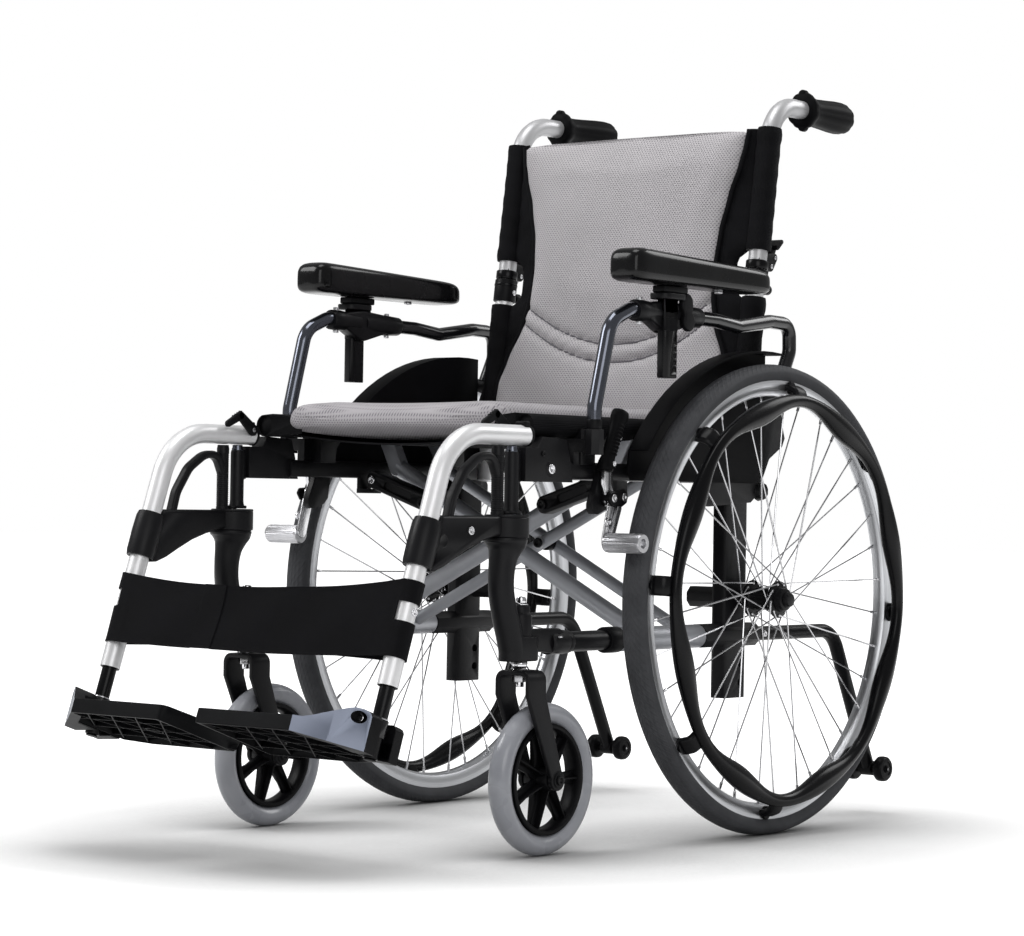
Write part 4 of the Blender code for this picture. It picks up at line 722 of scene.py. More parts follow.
TYRE = tyre_rubber("tyre_black", (0.050, 0.051, 0.056), (0.082, 0.084, 0.090), LEFT_WHEEL, 190.0)
CASTER_TYRE = painted("caster_grey", (0.33, 0.34, 0.375), (0.42, 0.43, 0.465), 0.28, coat=0.3, texture=260.0,
                      depth=0.00008, shine=0.35)
# Each mesh's second colour goes in its eyes: painted shade for the open holes.
SEAT_MESH = spacer_mesh("seat_mesh", (0.44, 0.42, 0.44), (0.18, 0.17, 0.19), lying=True)
BACK_MESH = spacer_mesh("back_mesh", (0.54, 0.52, 0.535), (0.25, 0.24, 0.26), lying=False)
# A dark cord laid in the lumbar seams' grooves: painted shade for the creases.
SEAM_SHADE = painted("seam_thread", (0.13, 0.125, 0.14), (0.19, 0.185, 0.20), 0.8)
NYLON = woven("black_nylon", (0.0035, 0.0035, 0.0042), (0.0090, 0.0090, 0.0105), False, 0.0020, 0.0004)
SLING = woven("black_sling", (0.008, 0.008, 0.009), (0.018, 0.018, 0.020), True, 0.0012, 0.0002)
STRAP = woven("strap_black", (0.0035, 0.0035, 0.0042), (0.008, 0.008, 0.0095), False, 0.0010, 0.0002)
VINYL = vinyl("pad_vinyl", (0.0030, 0.0030, 0.0034), (0.0052, 0.0052, 0.0058))


# Rear wheels

def on_wheel(x, reach, turn):
    # A point of the left wheel: at this x, this far from the axle, turned from straight up.
    return Vector((x, reach * sin(turn), WHEEL_R + reach * cos(turn)))


def rear_wheels():
    centre = (WHEEL_X, 0, WHEEL_R)
    bead = WHEEL_R - 0.0225
    half = [(bead, 0.0112), (bead + 0.0040, 0.0142), (bead + 0.0075, 0.0160), (bead + 0.0115, 0.0170),
            (bead + 0.0145, 0.0168), (bead + 0.0152, 0.0161), (bead + 0.0162, 0.0160), (bead + 0.0185, 0.0138),
            (WHEEL_R - 0.0022, 0.0105), (WHEEL_R - 0.0007, 0.0062), (WHEEL_R, 0.0018)]
    settle_both(spun(both_ways(half), centre, ACROSS, TYRE, 120, 50), "tyre", "wheel", "rear_tyre")

    rim_r = bead - 0.0002
    half = [(rim_r + 0.0034, 0.0106), (rim_r + 0.0034, 0.0122), (rim_r - 0.0010, 0.0126), (rim_r - 0.0090, 0.0120),
            (rim_r - 0.0150, 0.0092), (rim_r - 0.0178, 0.0050)]
    rim = spun(both_ways(half, [(rim_r - 0.0186, 0)]) + [(rim_r - 0.0006, -0.0100), (rim_r - 0.0006, 0.0100)],
               centre, ACROSS, RIM, 120, 30)
    inner, outer = HUB_IN_X - WHEEL_X, HUB_OUT_X - WHEEL_X
    inboard = [(0.0064, 0), (0.0120, 0), (0.0132, 0.0010), (0.0140, 0.0034), (0.0225, 0.0040), (0.0240, 0.0046),
               (0.0240, 0.0064), (0.0225, 0.0070), (0.0150, 0.0078), (0.0128, 0.0105)]
    outboard = [(0.0128, 0.0190), (0.0150, 0.0156), (0.0225, 0.0150), (0.0240, 0.0144), (0.0240, 0.0124),
                (0.0225, 0.0118), (0.0160, 0.0106), (0.0152, 0.0050), (0.0140, 0.0016), (0.0105, 0.0003),
                (0.0068, 0.0003), (0.0064, 0.0010)]
    hub = spun([(r, inner + x) for r, x in inboard] + [(0.0122, 0)] + [(r, outer - x) for r, x in outboard],
               centre, ACROSS, COAT, 48)
    flutes = []
    for i in range(12):
        near = on_wheel(WHEEL_X + inner + 0.0115, 0.0126, 2 * pi * i / 12)
        flutes.append(peg(near, near + Vector((0.026, 0, 0)), 0.0016, COAT, 10, 0))
    laces = []
    for i in range(4):
        side = -1 if i % 2 else 1
        lean = 1 if i // 2 else -1
        out = 2 * pi * (i + 0.5) / SPOKES
        hole_x = WHEEL_X + (outer - 0.0134 if side > 0 else inner + 0.0055) + 0.0018 * lean
        start = on_wheel(hole_x, 0.0205, out + lean * radians(78))
        end = on_wheel(WHEEL_X + 0.003 * side, rim_r - 0.016, out)
        elbow = Vector((0.0016 * lean, 0, 0))
        laces += [peg(start, end, 0.00105, STEEL, 6, 0),
                  peg(end - (end - start).normalized() * 0.012, end, 0.0020, STEEL, 8, 0.0004),
                  peg(start - elbow, start + elbow, 0.0019, STEEL, 8, 0.0003)]
    wheel = join(rim, hub, *flutes, ring_of(join(*laces), SPOKES // 4, centre))
    settle_both(wheel, "wheel", "wheel", "rear_wheel")

    # The handrim: a hoop that swells between its tabs.
    steps = 216
    rings = []
    for i in range(steps):
        a = 2 * pi * i / steps
        wave = cos(HANDRIM_TABS * (a - HANDRIM_TURN))
        lobe = (0.5 - 0.5 * wave) ** 1.4
        tall = 0.0084 + 0.0066 * lobe
        wide = 0.0076 + 0.0036 * lobe
        reach = HANDRIM_R + 0.0042 * wave
        ring = []
        for k in range(20):
            b = 2 * pi * k / 20
            groove = 0.0006 * exp(-(cos(b) / 0.12) ** 2)
            ring.append(on_wheel(HANDRIM_X + (wide - groove) * cos(b), reach + (tall - groove) * sin(b), a))
        rings.append(ring)
    hoop = lofted(rings, GLOSS, closed=True, angle=60)
    radial = Vector((0, sin(HANDRIM_TURN), cos(HANDRIM_TURN)))
    tangent = Vector((0, cos(HANDRIM_TURN), -sin(HANDRIM_TURN)))
    foot = Vector((WHEEL_X + 0.0123, 0, WHEEL_R)) + radial * (rim_r - 0.0068)
    route = [foot, foot + Vector((0.0050, 0, 0)), foot + Vector((0.0150, 0, 0)) - radial * 0.004,
             Vector((HANDRIM_X - 0.004, 0, WHEEL_R)) + radial * (HANDRIM_R + 0.002)]
    tab = swept(rounded(route, 0.008, 4), round_box(0.0125, 0.0046, 0.0040, 3), tangent, COAT)
    ear = peg(foot - Vector((0.0003, 0, 0)), foot + Vector((0.0040, 0, 0)), 0.0088, COAT, 28, 0.001)
    bolt = screw(foot + Vector((0.0040, 0, 0)), ACROSS, 0.0042, ZINC, 0.0026)
    tabs = ring_of(join(tab, ear, bolt), HANDRIM_TABS, centre)
    settle_both(join(hoop, tabs), "handrim", "wheel")


rear_wheels()


def paint_where(piece, finish, test):
    # Another finish on the faces whose middles pass the test.
    drop()
    piece.data.materials.append(finish)
    number = len(piece.data.materials) - 1
    for face in piece.data.polygons:
        if test(face.center):
            face.material_index = number
    return piece


# Casters

def casters():
    centre = (SIDE_X, CASTER_Y, CASTER_R)
    inner_r = CASTER_R - 0.0262
    tyre = []
    for k in range(24):
        b = 2 * pi * k / 24
        tyre.append((inner_r + 0.0131 + 0.0131 * cos(b), 0.0149 * sin(b) * (1 - 0.10 * max(0.0, -cos(b)))))
    tyre = spun(tyre, centre, ACROSS, CASTER_TYRE, 88, 60)
    half = [(inner_r + 0.0012, 0.0118), (inner_r - 0.0012, 0.0128), (inner_r - 0.0040, 0.0122),
            (inner_r - 0.0062, 0.0090), (inner_r - 0.0070, 0.0030)]
    rim = spun(both_ways(half), centre, ACROSS, PLASTIC, 72, 40)
    half = [(0.0048, -0.0188), (0.0100, -0.0188), (0.0125, -0.0175), (0.0150, -0.0120)]
    hub = spun(both_ways(half, [(0.0162, 0)]), centre, ACROSS, PLASTIC, 40)
    hub_z = CASTER_R
    web = [(-0.0085, 0.012), (-0.0058, 0.030), (-0.0090, 0.0605), (0.0090, 0.0605), (0.0058, 0.030), (0.0085, 0.012)]
    web = side_plate([(CASTER_Y + u, hub_z + v) for u, v in web], SIDE_X - 0.0028, SIDE_X + 0.0028, PLASTIC, 0.0010)
    rib = plate([(SIDE_X + u, CASTER_Y - 0.0012, hub_z + v) for u, v in
                 [(-0.0150, 0.012), (-0.0092, 0.060), (0.0092, 0.060), (0.0150, 0.012)]],
                (0, 0.0024, 0), PLASTIC, 0.0006)
    wheel = join(tyre, rim, hub, ring_of(join(web, rib), 7, centre, 0.2))
    settle_both(wheel, "caster_wheel", "caster_wheel")

    # The fork: an upturned U whose arms narrow and lean toward the axle.
    bar, across = 0.0032, 0.0230
    corners = rounded([(-across, 0, CASTER_R), (-across, 0, FORK_TOP_Z - bar), (across, 0, FORK_TOP_Z - bar),
                       (across, 0, CASTER_R)], 0.0095, 8)
    steps = [Vector(corners[0]).lerp(Vector(corners[1]), i / 7) for i in range(7)]
    steps += [Vector(p) for p in corners[1:-1]]
    steps += [Vector(corners[-2]).lerp(Vector(corners[-1]), i / 7) for i in range(1, 8)]
    rings = []
    for i, spot in enumerate(steps):
        way = (steps[min(i + 1, len(steps) - 1)] - steps[max(i - 1, 0)]).normalized()
        k = min(1.0, max(0.0, (spot.z - CASTER_R) / (FORK_TOP_Z - 0.030 - CASTER_R)))
        middle = CASTER_Y + (STEM_Y + 0.002 - CASTER_Y) * k
        deep = 0.0112 + 0.0058 * k
        rings.append([(SIDE_X + spot.x - way.z * v, middle + u, spot.z + way.x * v)
                      for u, v in round_box(deep, bar, 0.0016, 3)])
    parts = [lofted(rings, CAST, angle=40)]

    def axle_peg(start, end, radius, finish, sides=28, ease=0.0008):
        start, end = ((SIDE_X + x, CASTER_Y, CASTER_R) for x in (start, end))
        return peg(start, end, radius, finish, sides, ease)

    def stem_peg(low, high, radius, finish, sides):
        return peg((SIDE_X, STEM_Y, low), (SIDE_X, STEM_Y, high), radius, finish, sides)

    for side in (-1, 1):
        mid = side * across
        parts += [axle_peg(mid - 0.0033, mid + 0.0033, 0.0128, CAST, 40, 0.0012),
                  axle_peg(mid + side * 0.0030, mid + side * 0.0050, 0.0092, CAST, 36, 0.0007),
                  screw((SIDE_X + mid + side * 0.0048, CASTER_Y, CASTER_R), (side, 0, 0), 0.0062, COAT, 0.0030)]
    cone = [(0, -0.0005), (0.0108, -0.0005), (0.0112, 0.0010), (0.0100, 0.0035), (0.0088, 0.0045), (0.0092, 0.0085),
            (0.0086, 0.0098), (0, 0.0098)]
    parts += [axle_peg(-0.0225, 0.0225, 0.0038, ZINC), stem_peg(FORK_TOP_Z - 0.001, 0.280, 0.0060, CHROME, 32),
              spun([(r, FORK_TOP_Z + h) for r, h in cone], (SIDE_X, STEM_Y, 0), UP, CHROME, 40),
              stem_peg(FORK_TOP_Z - 0.0145, FORK_TOP_Z - 0.0056, 0.0098, ZINC, 6),
              stem_peg(FORK_TOP_Z - 0.0205, FORK_TOP_Z - 0.0050, 0.0056, CHROME, 20)]
    settle_both(join(*parts), "caster_fork", "caster_fork")


# Front posts and the frame's side rails

def front_posts():
    spots = [(-0.4810, 0.3837, 0.0262), (-0.4810, 0.3800, 0.0266), (-0.4812, 0.3750, 0.0248),
             (-0.4825, 0.3680, 0.0202), (-0.4850, 0.3580, 0.0172), (-0.4875, 0.3400, 0.0158),
             (-0.4868, 0.3180, 0.0156), (-0.4800, 0.2930, 0.0160), (-0.4705, 0.2680, 0.0165),
             (-0.4650, 0.2480, 0.0160), (-0.4640, 0.2375, 0.0150)]
    route, widths = flowing([(SIDE_X, y, z) for y, z, r in spots], [r for y, z, r in spots], 4)
    leg = pipe(route, 0.016, CAST, widths, 6)
    base = plate([(SIDE_X + u, v, 0.2362) for u, v in hull([(0, -0.4655, 0.0158), (0, -0.4400, 0.0160)], 8)],
                 (0, 0, 0.0300), CAST, 0.0022, 3)
    housing = spun([(0.0075, 0.2362), (0.0128, 0.2362), (0.0132, 0.2380), (0.0132, 0.2890), (0.0124, 0.2925),
                    (0.0108, 0.2940), (0.0108, 0.3010), (0.0094, 0.3030), (0, 0.3030), (0, 0.2990), (0.0075, 0.2960)],
                   (SIDE_X, STEM_Y, 0), UP, CAST, 48)
    nut = spun([(0, 0.3028), (0.0078, 0.3028), (0.0082, 0.3045), (0.0060, 0.3062), (0.0064, 0.3095),
                (0.0052, 0.3125), (0, 0.3135)], (SIDE_X, STEM_Y, 0), UP, CHROME, 32)
    ear = side_plate(hull([(-0.4400, LOWER_Z + 0.004, 0.0128), (-0.3870, LOWER_Z + 0.002, 0.0152)]),
                     SIDE_X - 0.0098, SIDE_X + 0.0098, CAST, 0.0025, 3)
    seat = spun([(0, -0.4000), (0.0135, -0.4000), (0.0148, -0.3985), (0.0148, -0.3675), (0.0140, -0.3663),
                 (0, -0.3663)], (SIDE_X, 0, LOWER_Z), ALONG, CAST, 40)
    bolt = screw((SIDE_X + 0.0098, -0.3870, LOWER_Z + 0.002), ACROSS, 0.0068, CHROME, 0.0036)
    collar = spun([(0.0066, 0), (0.0092, 0), (0.0094, 0.0010), (0.0066, 0.0012)],
                  (SIDE_X + 0.0096, -0.3870, LOWER_Z + 0.002), ACROSS, COAT, 32)
    pin = peg((SIDE_X, PIVOT_Y, 0.379), (SIDE_X, PIVOT_Y, 0.4137), 0.0058, ZINC)
    cap = plate([(SIDE_X + u, v, 0.4116) for u, v in hull([(0, PIVOT_Y, 0.0093), (0, -0.4670, 0.0100)], 8)],
                (0, 0, 0.0038), CAST, 0.0008)
    rib = spun([(0, 0.4118), (0.0100, 0.4118), (0.0104, 0.4140), (0.0090, 0.4180), (0.0087, 0.4230),
                (0.0087, 0.4830), (0.0080, 0.4862), (0, 0.4862)], (SIDE_X, CAST_RIB_Y, 0), UP, CAST, 40)
    button = spun([(0, 0.4858), (0.0074, 0.4858), (0.0076, 0.4880), (0.0066, 0.4900), (0.0066, 0.4925),
                   (0.0056, 0.4932), (0, 0.4932)], (SIDE_X, CAST_RIB_Y, 0), UP, DARK_TUBE, 32)
    web = side_plate([(-0.4740, 0.4560), (-0.4740, 0.4850), (-0.4590, 0.4880), (-0.4590, 0.4500), (-0.4650, 0.4480)],
                     SIDE_X - 0.0050, SIDE_X + 0.0050, CAST, 0.0012)
    post = join(leg, base, housing, nut, ear, seat, bolt, collar, pin, cap, rib, button, web)
    settle_both(post, "front_post", "side")

    rail = eased_copy("upper_rail_left", CAST, 0.0011, 3)
    extras = [screw((SIDE_X + 0.0110, -0.4100, 0.4665), ACROSS, 0.0062, CHROME, 0.0032),
              screw((SIDE_X + 0.0110, -0.4250, 0.4850), ACROSS, 0.0034, COAT, 0.0020),
              screw((0.2312, -0.2650, 0.5080), ACROSS, 0.0042, CHROME, 0.0024)]
    boss = spun([(0, 0), (0.0095, 0), (0.0095, 0.0014), (0.0083, 0.0024), (0, 0.0024)],
                (SIDE_X + 0.0096, -0.4100, 0.4665), ACROSS, CAST, 36)
    settle_both(join(rail, *extras, boss), "upper_rail", "side")

    tube = pipe([(SIDE_X, y, LOWER_Z) for y in (-0.366, -0.083)], TUBE_R, COAT, None, 6)
    ring = spun([(0.0128, -0.2850), (0.0150, -0.2850), (0.0162, -0.2835), (0.0164, -0.2700), (0.0162, -0.2590),
                 (0.0152, -0.2578), (0.0128, -0.2578)], (SIDE_X, 0, LOWER_Z), ALONG, PLASTIC, 48)
    lip = spun([(0.0128, -0.3660), (0.0140, -0.3660), (0.0140, -0.3590), (0.0134, -0.3580), (0.0128, -0.3580)],
               (SIDE_X, 0, LOWER_Z), ALONG, CAST, 40)
    settle_both(join(tube, ring, lip), "lower_rail", "side")

    settle_both(eased_copy("axle_plate_left", CAST, 0.0009, 2), "axle_plate", "side")
    settle_both(eased_copy("side_guard_left", GUARD, 0.0009, 2), "side_guard", "side")


# Leg rests

def on_tube(z, x=SIDE_X):
    return (x, hanger_y(z), z)


TUBE_DOWN = Vector((0, -sin(HANGER_LEAN), -cos(HANGER_LEAN)))
TOEWARD = Vector((0, -cos(HANGER_LEAN), sin(HANGER_LEAN)))
FOOT = Vector((0, hanger_y(FOOT_Z), FOOT_Z))


def on_foot(x, u, n):
    # A point in the footplate's tilted plane: u toward the toe, n up from it.
    return Vector((x, 0, 0)) + FOOT + TOEWARD * u - TUBE_DOWN * n


def leg_rests():
    route = rounded([(SIDE_X, -0.447, HANGER_Z), (SIDE_X, HANGER_CORNER_Y, HANGER_Z), on_tube(HANGER_LOW_Z)],
                    0.078, 16)
    tube = pipe(route, TUBE_R, SILVER, None, 7)
    plug = spun([(0, -0.4475), (0.0128, -0.4475), (0.0132, -0.4460), (0.0132, -0.4440), (0.0120, -0.4425),
                 (0, -0.4425)], (SIDE_X, 0, HANGER_Z), ALONG, PLASTIC, 40)
    latch = block((SIDE_X - 0.008, -0.457, HANGER_Z + 0.0085), (SIDE_X + 0.008, -0.446, HANGER_Z + 0.0172),
                  PLASTIC, 0.0024)
    lever_y, lever_z = -0.460, HANGER_Z + 0.0065
    lever_x = SIDE_X - 0.0128
    pin = peg((lever_x - 0.0066, lever_y, lever_z), (SIDE_X - 0.006, lever_y, lever_z), 0.0029, ZINC)
    end = Vector(on_tube(HANGER_LOW_Z))
    collet = peg(end - TUBE_DOWN * 0.004, end + TUBE_DOWN * 0.0006, 0.0119, PLASTIC, 40, 0.0004)
    button = screw(Vector(on_tube(0.2985)) + Vector((0.0121, 0, 0)), ACROSS, 0.0046, CHROME, 0.0026)
    hanger = join(tube, plug, latch, pin, collet, button)
    settle_both(hanger, "hanger_tube", "hanger")

    arm = side_plate(hull([(lever_y, lever_z, 0.0074), (lever_y - 0.023, lever_z + 0.018, 0.0054)]),
                     lever_x - 0.0055, lever_x, PLASTIC, 0.0012, 3)
    tip = side_plate(hull([(lever_y - 0.023, lever_z + 0.018, 0.0054), (lever_y - 0.045, lever_z + 0.007, 0.0042)]),
                     lever_x - 0.0055, lever_x, PLASTIC, 0.0012, 3)
    ridges = [block((lever_x - 0.0058, lever_y - 0.024 - 0.004 * i, lever_z + 0.0212 - 0.002 * i),
                    (lever_x + 0.0002, lever_y - 0.0225 - 0.004 * i, lever_z + 0.0242 - 0.002 * i), PLASTIC, 0.0004, 1)
              for i in range(4)]
    settle_both(join(arm, tip, *ridges), "hanger_lever", "hanger_lever")

    ring = spun([(0.0066, 0.3840), (0.0262, 0.3840), (0.0270, 0.3850), (0.0270, 0.4068), (0.0264, 0.4076),
                 (0.0270, 0.4084), (0.0270, 0.4102), (0.0260, 0.4110), (0.0066, 0.4110)],
                (SIDE_X, PIVOT_Y, 0), UP, CAST, 72, 30)
    relief = peg((SIDE_X, CAST_RIB_Y, 0.4105), (SIDE_X, CAST_RIB_Y, 0.43), 0.0118, CAST, 32, 0)
    ring = cut_away(ring, relief)
    arm = side_plate([(-0.4700, 0.4095), (-0.4700, 0.3855), (-0.4900, 0.3855), (-0.5120, 0.3850), (-0.5350, 0.3795),
                      (-0.5600, 0.3715), (-0.5850, 0.3600), (-0.6050, 0.3500), (-0.6220, 0.3442), (-0.6400, 0.3440),
                      (-0.6500, 0.3510), (-0.6505, 0.3660), (-0.6440, 0.3860), (-0.6360, 0.4000), (-0.6240, 0.4075),
                      (-0.6080, 0.4095), (-0.5600, 0.4096), (-0.5000, 0.4096)],
                     SIDE_X - 0.0118, SIDE_X + 0.0118, CAST, 0.0042, 4)
    clamp = pipe([on_tube(0.4040), on_tube(0.3980), on_tube(0.3800), on_tube(0.3560), on_tube(0.3500)], 0.018, CAST,
                 [0.0160, 0.0176, 0.0182, 0.0180, 0.0168], 8)
    arm, clamp = (cut_away(piece, peg(on_tube(0.46), on_tube(0.30), SLEEVE_R, CAST, 40, 0)) for piece in (arm, clamp))
    ridged = [(0, 0.4070), (0.0079, 0.4070)]
    for i in range(26):
        z = 0.4140 + 0.0026 * i
        ridged += [(0.0079, z), (0.0073, z + 0.0006), (0.0073, z + 0.0016), (0.0079, z + 0.0022)]
    ridged += [(0.0079, 0.4880), (0.0070, 0.4925), (0, 0.4925)]
    front_rib = spun(ridged, (SIDE_X, -0.4975, 0), UP, CAST, 40, 30)
    strut_route = rounded([(SIDE_X, y, z) for y, z in
                           ((-0.4985, 0.4560), (-0.5100, 0.4800), (-0.5320, 0.4800), (-0.5600, 0.4620),
                            (-0.5810, 0.4320), (-0.5900, 0.4020))], 0.035, 6)
    strut = swept(strut_route, round_box(0.0065, 0.0048, 0.0030, 3), ACROSS, CAST)
    knuckle = screw((SIDE_X + 0.0117, -0.5610, 0.3920), ACROSS, 0.0052, ZINC, 0.0030)
    dimple = spun([(0, 0.0), (0.0082, 0.0), (0.0082, 0.0006), (0.0070, 0.0010), (0.0062, 0.0007), (0, 0.0007)],
                  (SIDE_X + 0.0116, -0.6095, 0.3800), ACROSS, COAT, 36)
    bracket = join(ring, arm, clamp, front_rib, strut, knuckle, dimple)
    settle_both(bracket, "hanger_bracket", "hanger")

    stem = peg(end - TUBE_DOWN * 0.080, on_foot(SIDE_X, 0, -0.0185), 0.0090, GLOSS, 44, 0.0010)
    foot_plug = peg(on_foot(SIDE_X, 0, -0.0190), on_foot(SIDE_X, 0, -0.0205), 0.0074, PLASTIC, 36, 0.0005)
    swivel = peg(on_foot(SIDE_X, 0, 0.0060), on_foot(SIDE_X, 0, 0.0275), 0.0112, BLACK_TUBE, 44, 0.0008)
    lip = peg(on_foot(SIDE_X, 0, 0.0268), on_foot(SIDE_X, 0, 0.0292), 0.0100, ZINC, 44, 0.0006)
    pin = peg(on_foot(SIDE_X, -0.0305, FLIP_N), on_foot(SIDE_X, 0.0320, FLIP_N), 0.0039, ZINC, 24, 0.0006)
    bolt = screw(on_foot(SIDE_X, 0.0303, FLIP_N), TOEWARD, 0.0062, CHROME, 0.0042)
    settle_both(join(stem, foot_plug, swivel, lip, pin, bolt), "footrest_tube", "footrest")


def cheek_u(x):
    # The slanted outer face of the footplate's cheek.
    return PLATE_TOE + (CHEEK_END_U - PLATE_TOE) * (x - CHEEK_START_X) / (CHEEK_END_X - CHEEK_START_X)


def cheek_solid(profile, face, back, finish, ease):
    rings = [[on_foot(x, face(x), n) for x, n in profile], [on_foot(x, back(x), n) for x, n in profile]]
    piece = lofted(rings, finish, angle=30)
    ease_edges(piece, ease, 3, 28)
    shade(piece, 40)
    return piece


def tray(points, low, high, finish, ease):
    # An outline in the footplate's plane made solid from the low level to the high one.
    piece = lofted([[on_foot(x, u, n) for x, u in points] for n in (low, high)], finish, angle=30)
    ease_edges(piece, ease, 3, 28)
    return piece


def foot_rib(start, end, low, high, thick=0.0013):
    # A thin upright rib under the footplate, between two points of its plane.
    way = Vector((end[0] - start[0], end[1] - start[1])).normalized() * thick / 2
    ring = [(start[0] - way.y, start[1] + way.x), (start[0] + way.y, start[1] - way.x),
            (end[0] + way.y, end[1] - way.x), (end[0] - way.y, end[1] + way.x)]
    return tray(ring, low, high, PLATE, 0)


def footplates():
    inner, low, high = 0.0185, -0.0135, 0.0045
    cheek_in = 0.2080
    web_deep = 0.018
    ear_back, rear_front, rear_back = 0.0125, -0.0125, -0.0279
    tool_x, tool_n, tool_r = SIDE_X + 0.006, FLIP_N - 0.001, 0.0072

    def flat_corner(points, radius, steps):
        return [(p[0], p[1]) for p in rounded([(x, u, 0) for x, u in points], radius, steps)]
    front = flat_corner([(inner, 0.040), (inner + 0.0065, PLATE_TOE), (0.080, PLATE_TOE)], 0.010, 7)
    front += [(0.120, PLATE_TOE), (CHEEK_START_X, PLATE_TOE), (cheek_in, cheek_u(cheek_in) - 0.0016),
              (cheek_in, 0.0123), (cheek_in, -0.0280)]
    rear = flat_corner([(cheek_in, -0.0364), (0.165, PLATE_HEEL), (0.120, PLATE_HEEL)], 0.020, 4)
    rear += flat_corner([(0.080, PLATE_HEEL), (inner, PLATE_HEEL), (inner, -0.010)], 0.010, 6)
    slab = tray(front + rear, low, high, PLATE, 0.0010)
    well = tray([(inner + 0.0150, -0.0435), (0.166, -0.0435), (0.205, -0.0335), (0.205, cheek_u(0.205) - 0.006),
                 (CHEEK_START_X - 0.002, PLATE_TOE - 0.0035), (inner + 0.0185, PLATE_TOE - 0.0035),
                 (inner + 0.0150, 0.045)], low - 0.01, high - 0.0035, PLATE, 0)
    slope = [[on_foot(x, u, n) for x, n in ((inner - 0.002, low - 0.002), (inner + 0.0134, low - 0.002),
                                            (inner - 0.002, high + 0.0004))] for u in (-0.07, 0.11)]
    slab = cut_away(slab, well, lofted(slope, PLATE))

    # Ribs under the plate: three along it, and a lattice that stops short of the cheek.
    rib_low, rib_high, rib_end = low + 0.0012, high - 0.0030, 0.204
    rails = [((inner + 0.014, u), (x, u)) for u, x in ((0.056, 0.203), (0.021, 0.207), (-0.014, 0.207))]
    for i in range(5):
        x = 0.036 + 0.040 * i
        top = min(0.0855, cheek_u(x - 0.004) - 0.0045)
        run = min(1.0, (rib_end - x + 0.004) / 0.102)
        rails.append(((x - 0.004, top), (min(x + 0.098, rib_end), top - 0.131 * run)))
        if i > 1:
            rails.append(((x - 0.010, min(0.0855, cheek_u(x - 0.010) - 0.0045)), (x - 0.092, -0.0435)))
    ribs = [foot_rib(a, b, rib_low, rib_high) for a, b in rails]
    hub = [[(0.100 + 0.011 * cos(a), 0.021 + 0.011 * sin(a)) for a in (0.52 * i, 0.52 * i + 0.55)] for i in range(12)]
    ribs += [foot_rib(a, b, rib_low, rib_high) for a, b in hub]

    # The cheek: a web and an ear with the hinge's recess, made one, and a second ear behind.
    cheek = [(CHEEK_START_X, low), (0.2110, -0.0156), (0.2300, -0.0170), (0.2430, -0.0179), (0.2430, 0.0222),
             (0.2418, 0.0253), (0.2392, 0.0277), (0.2350, 0.0292), (0.2280, 0.0292), (0.2220, 0.0268),
             (0.2110, 0.0204), (0.2020, 0.0150), (0.1920, 0.0088), (0.1850, 0.0056), (CHEEK_START_X, high)]
    web = cheek_solid(cheek[:2] + cheek[10:], cheek_u, lambda x: cheek_u(x) - web_deep, PLASTIC, 0)
    ear = cheek_solid([(0.2095, -0.0155)] + cheek[1:11] + [(0.2095, 0.0195)], cheek_u, lambda x: ear_back, PLASTIC, 0)
    rear_ear = cheek_solid([(0.2090, -0.0154), (0.2430, -0.0179), (0.2430, 0.0200), (0.2405, 0.0238),
                            (0.2360, 0.0258), (0.2150, 0.0258), (0.2090, 0.0179)],
                           lambda x: rear_front, lambda x: rear_back, PLASTIC, 0.0010)
    floor = tray([(0.2065, ear_back), (0.2427, ear_back), (0.2427, 0.0322), (0.2065, cheek_u(0.2065) - 0.0004)],
                 low - 0.0016, high, PLATE, 0.0004)
    behind = tray([(0.2065, rear_back), (0.2427, rear_back), (0.2427, rear_front), (0.2065, rear_front)],
                  low - 0.0016, high, PLATE, 0.0004)
    ear = cut_away(ear, peg(on_foot(tool_x, 0.0260, tool_n), on_foot(tool_x, 0.2, tool_n), tool_r, PLASTIC, 48, 0))
    cheek_face = merged(ear, web)
    # The slanted face is painted blue-grey: a painted sheen, on both footplates.
    slant = (Vector((cheek_u(0.2) - cheek_u(0.201), 0, 0)) * 1000 + TOEWARD).normalized()
    on_slant = on_foot(0.2, cheek_u(0.2), 0)
    paint_where(cheek_face, CHEEK, lambda spot: abs((spot - on_slant).dot(slant)) < 0.0012)
    ease_edges(cheek_face, 0.0005, 2, 50)
    shade(cheek_face, 40)
    treads = [tray([(0.034, u - 0.0016), (0.150, u - 0.0016), (0.150, u + 0.0016), (0.034, u + 0.0016)], high - 0.001,
                   high + 0.0009, PLATE, 0.0005) for u in (-0.030, -0.014, 0.002, 0.018, 0.034, 0.050, 0.066)]
    settle_both(join(slab, cheek_face, rear_ear, floor, behind, *ribs, *treads),
                "footplate", "footplate")


casters()
front_posts()
leg_rests()
footplates()


# Back and push grips

def along_back(z, x=POST_X, back=0.0):
    return Vector((x, lean_y(z) + back, z))


HINGE = (lean_y(0.745) + 0.020, 0.745)
LATCH = (lean_y(0.757) + 0.0275, 0.757)
CANE_TOP = Vector((POST_X, lean_y(CANE_TOP_Z), CANE_TOP_Z))
CANE_TAIL = Vector((POST_X - GRIP_IN, GRIP_END_Y - 0.010, GRIP_Z - 0.006))


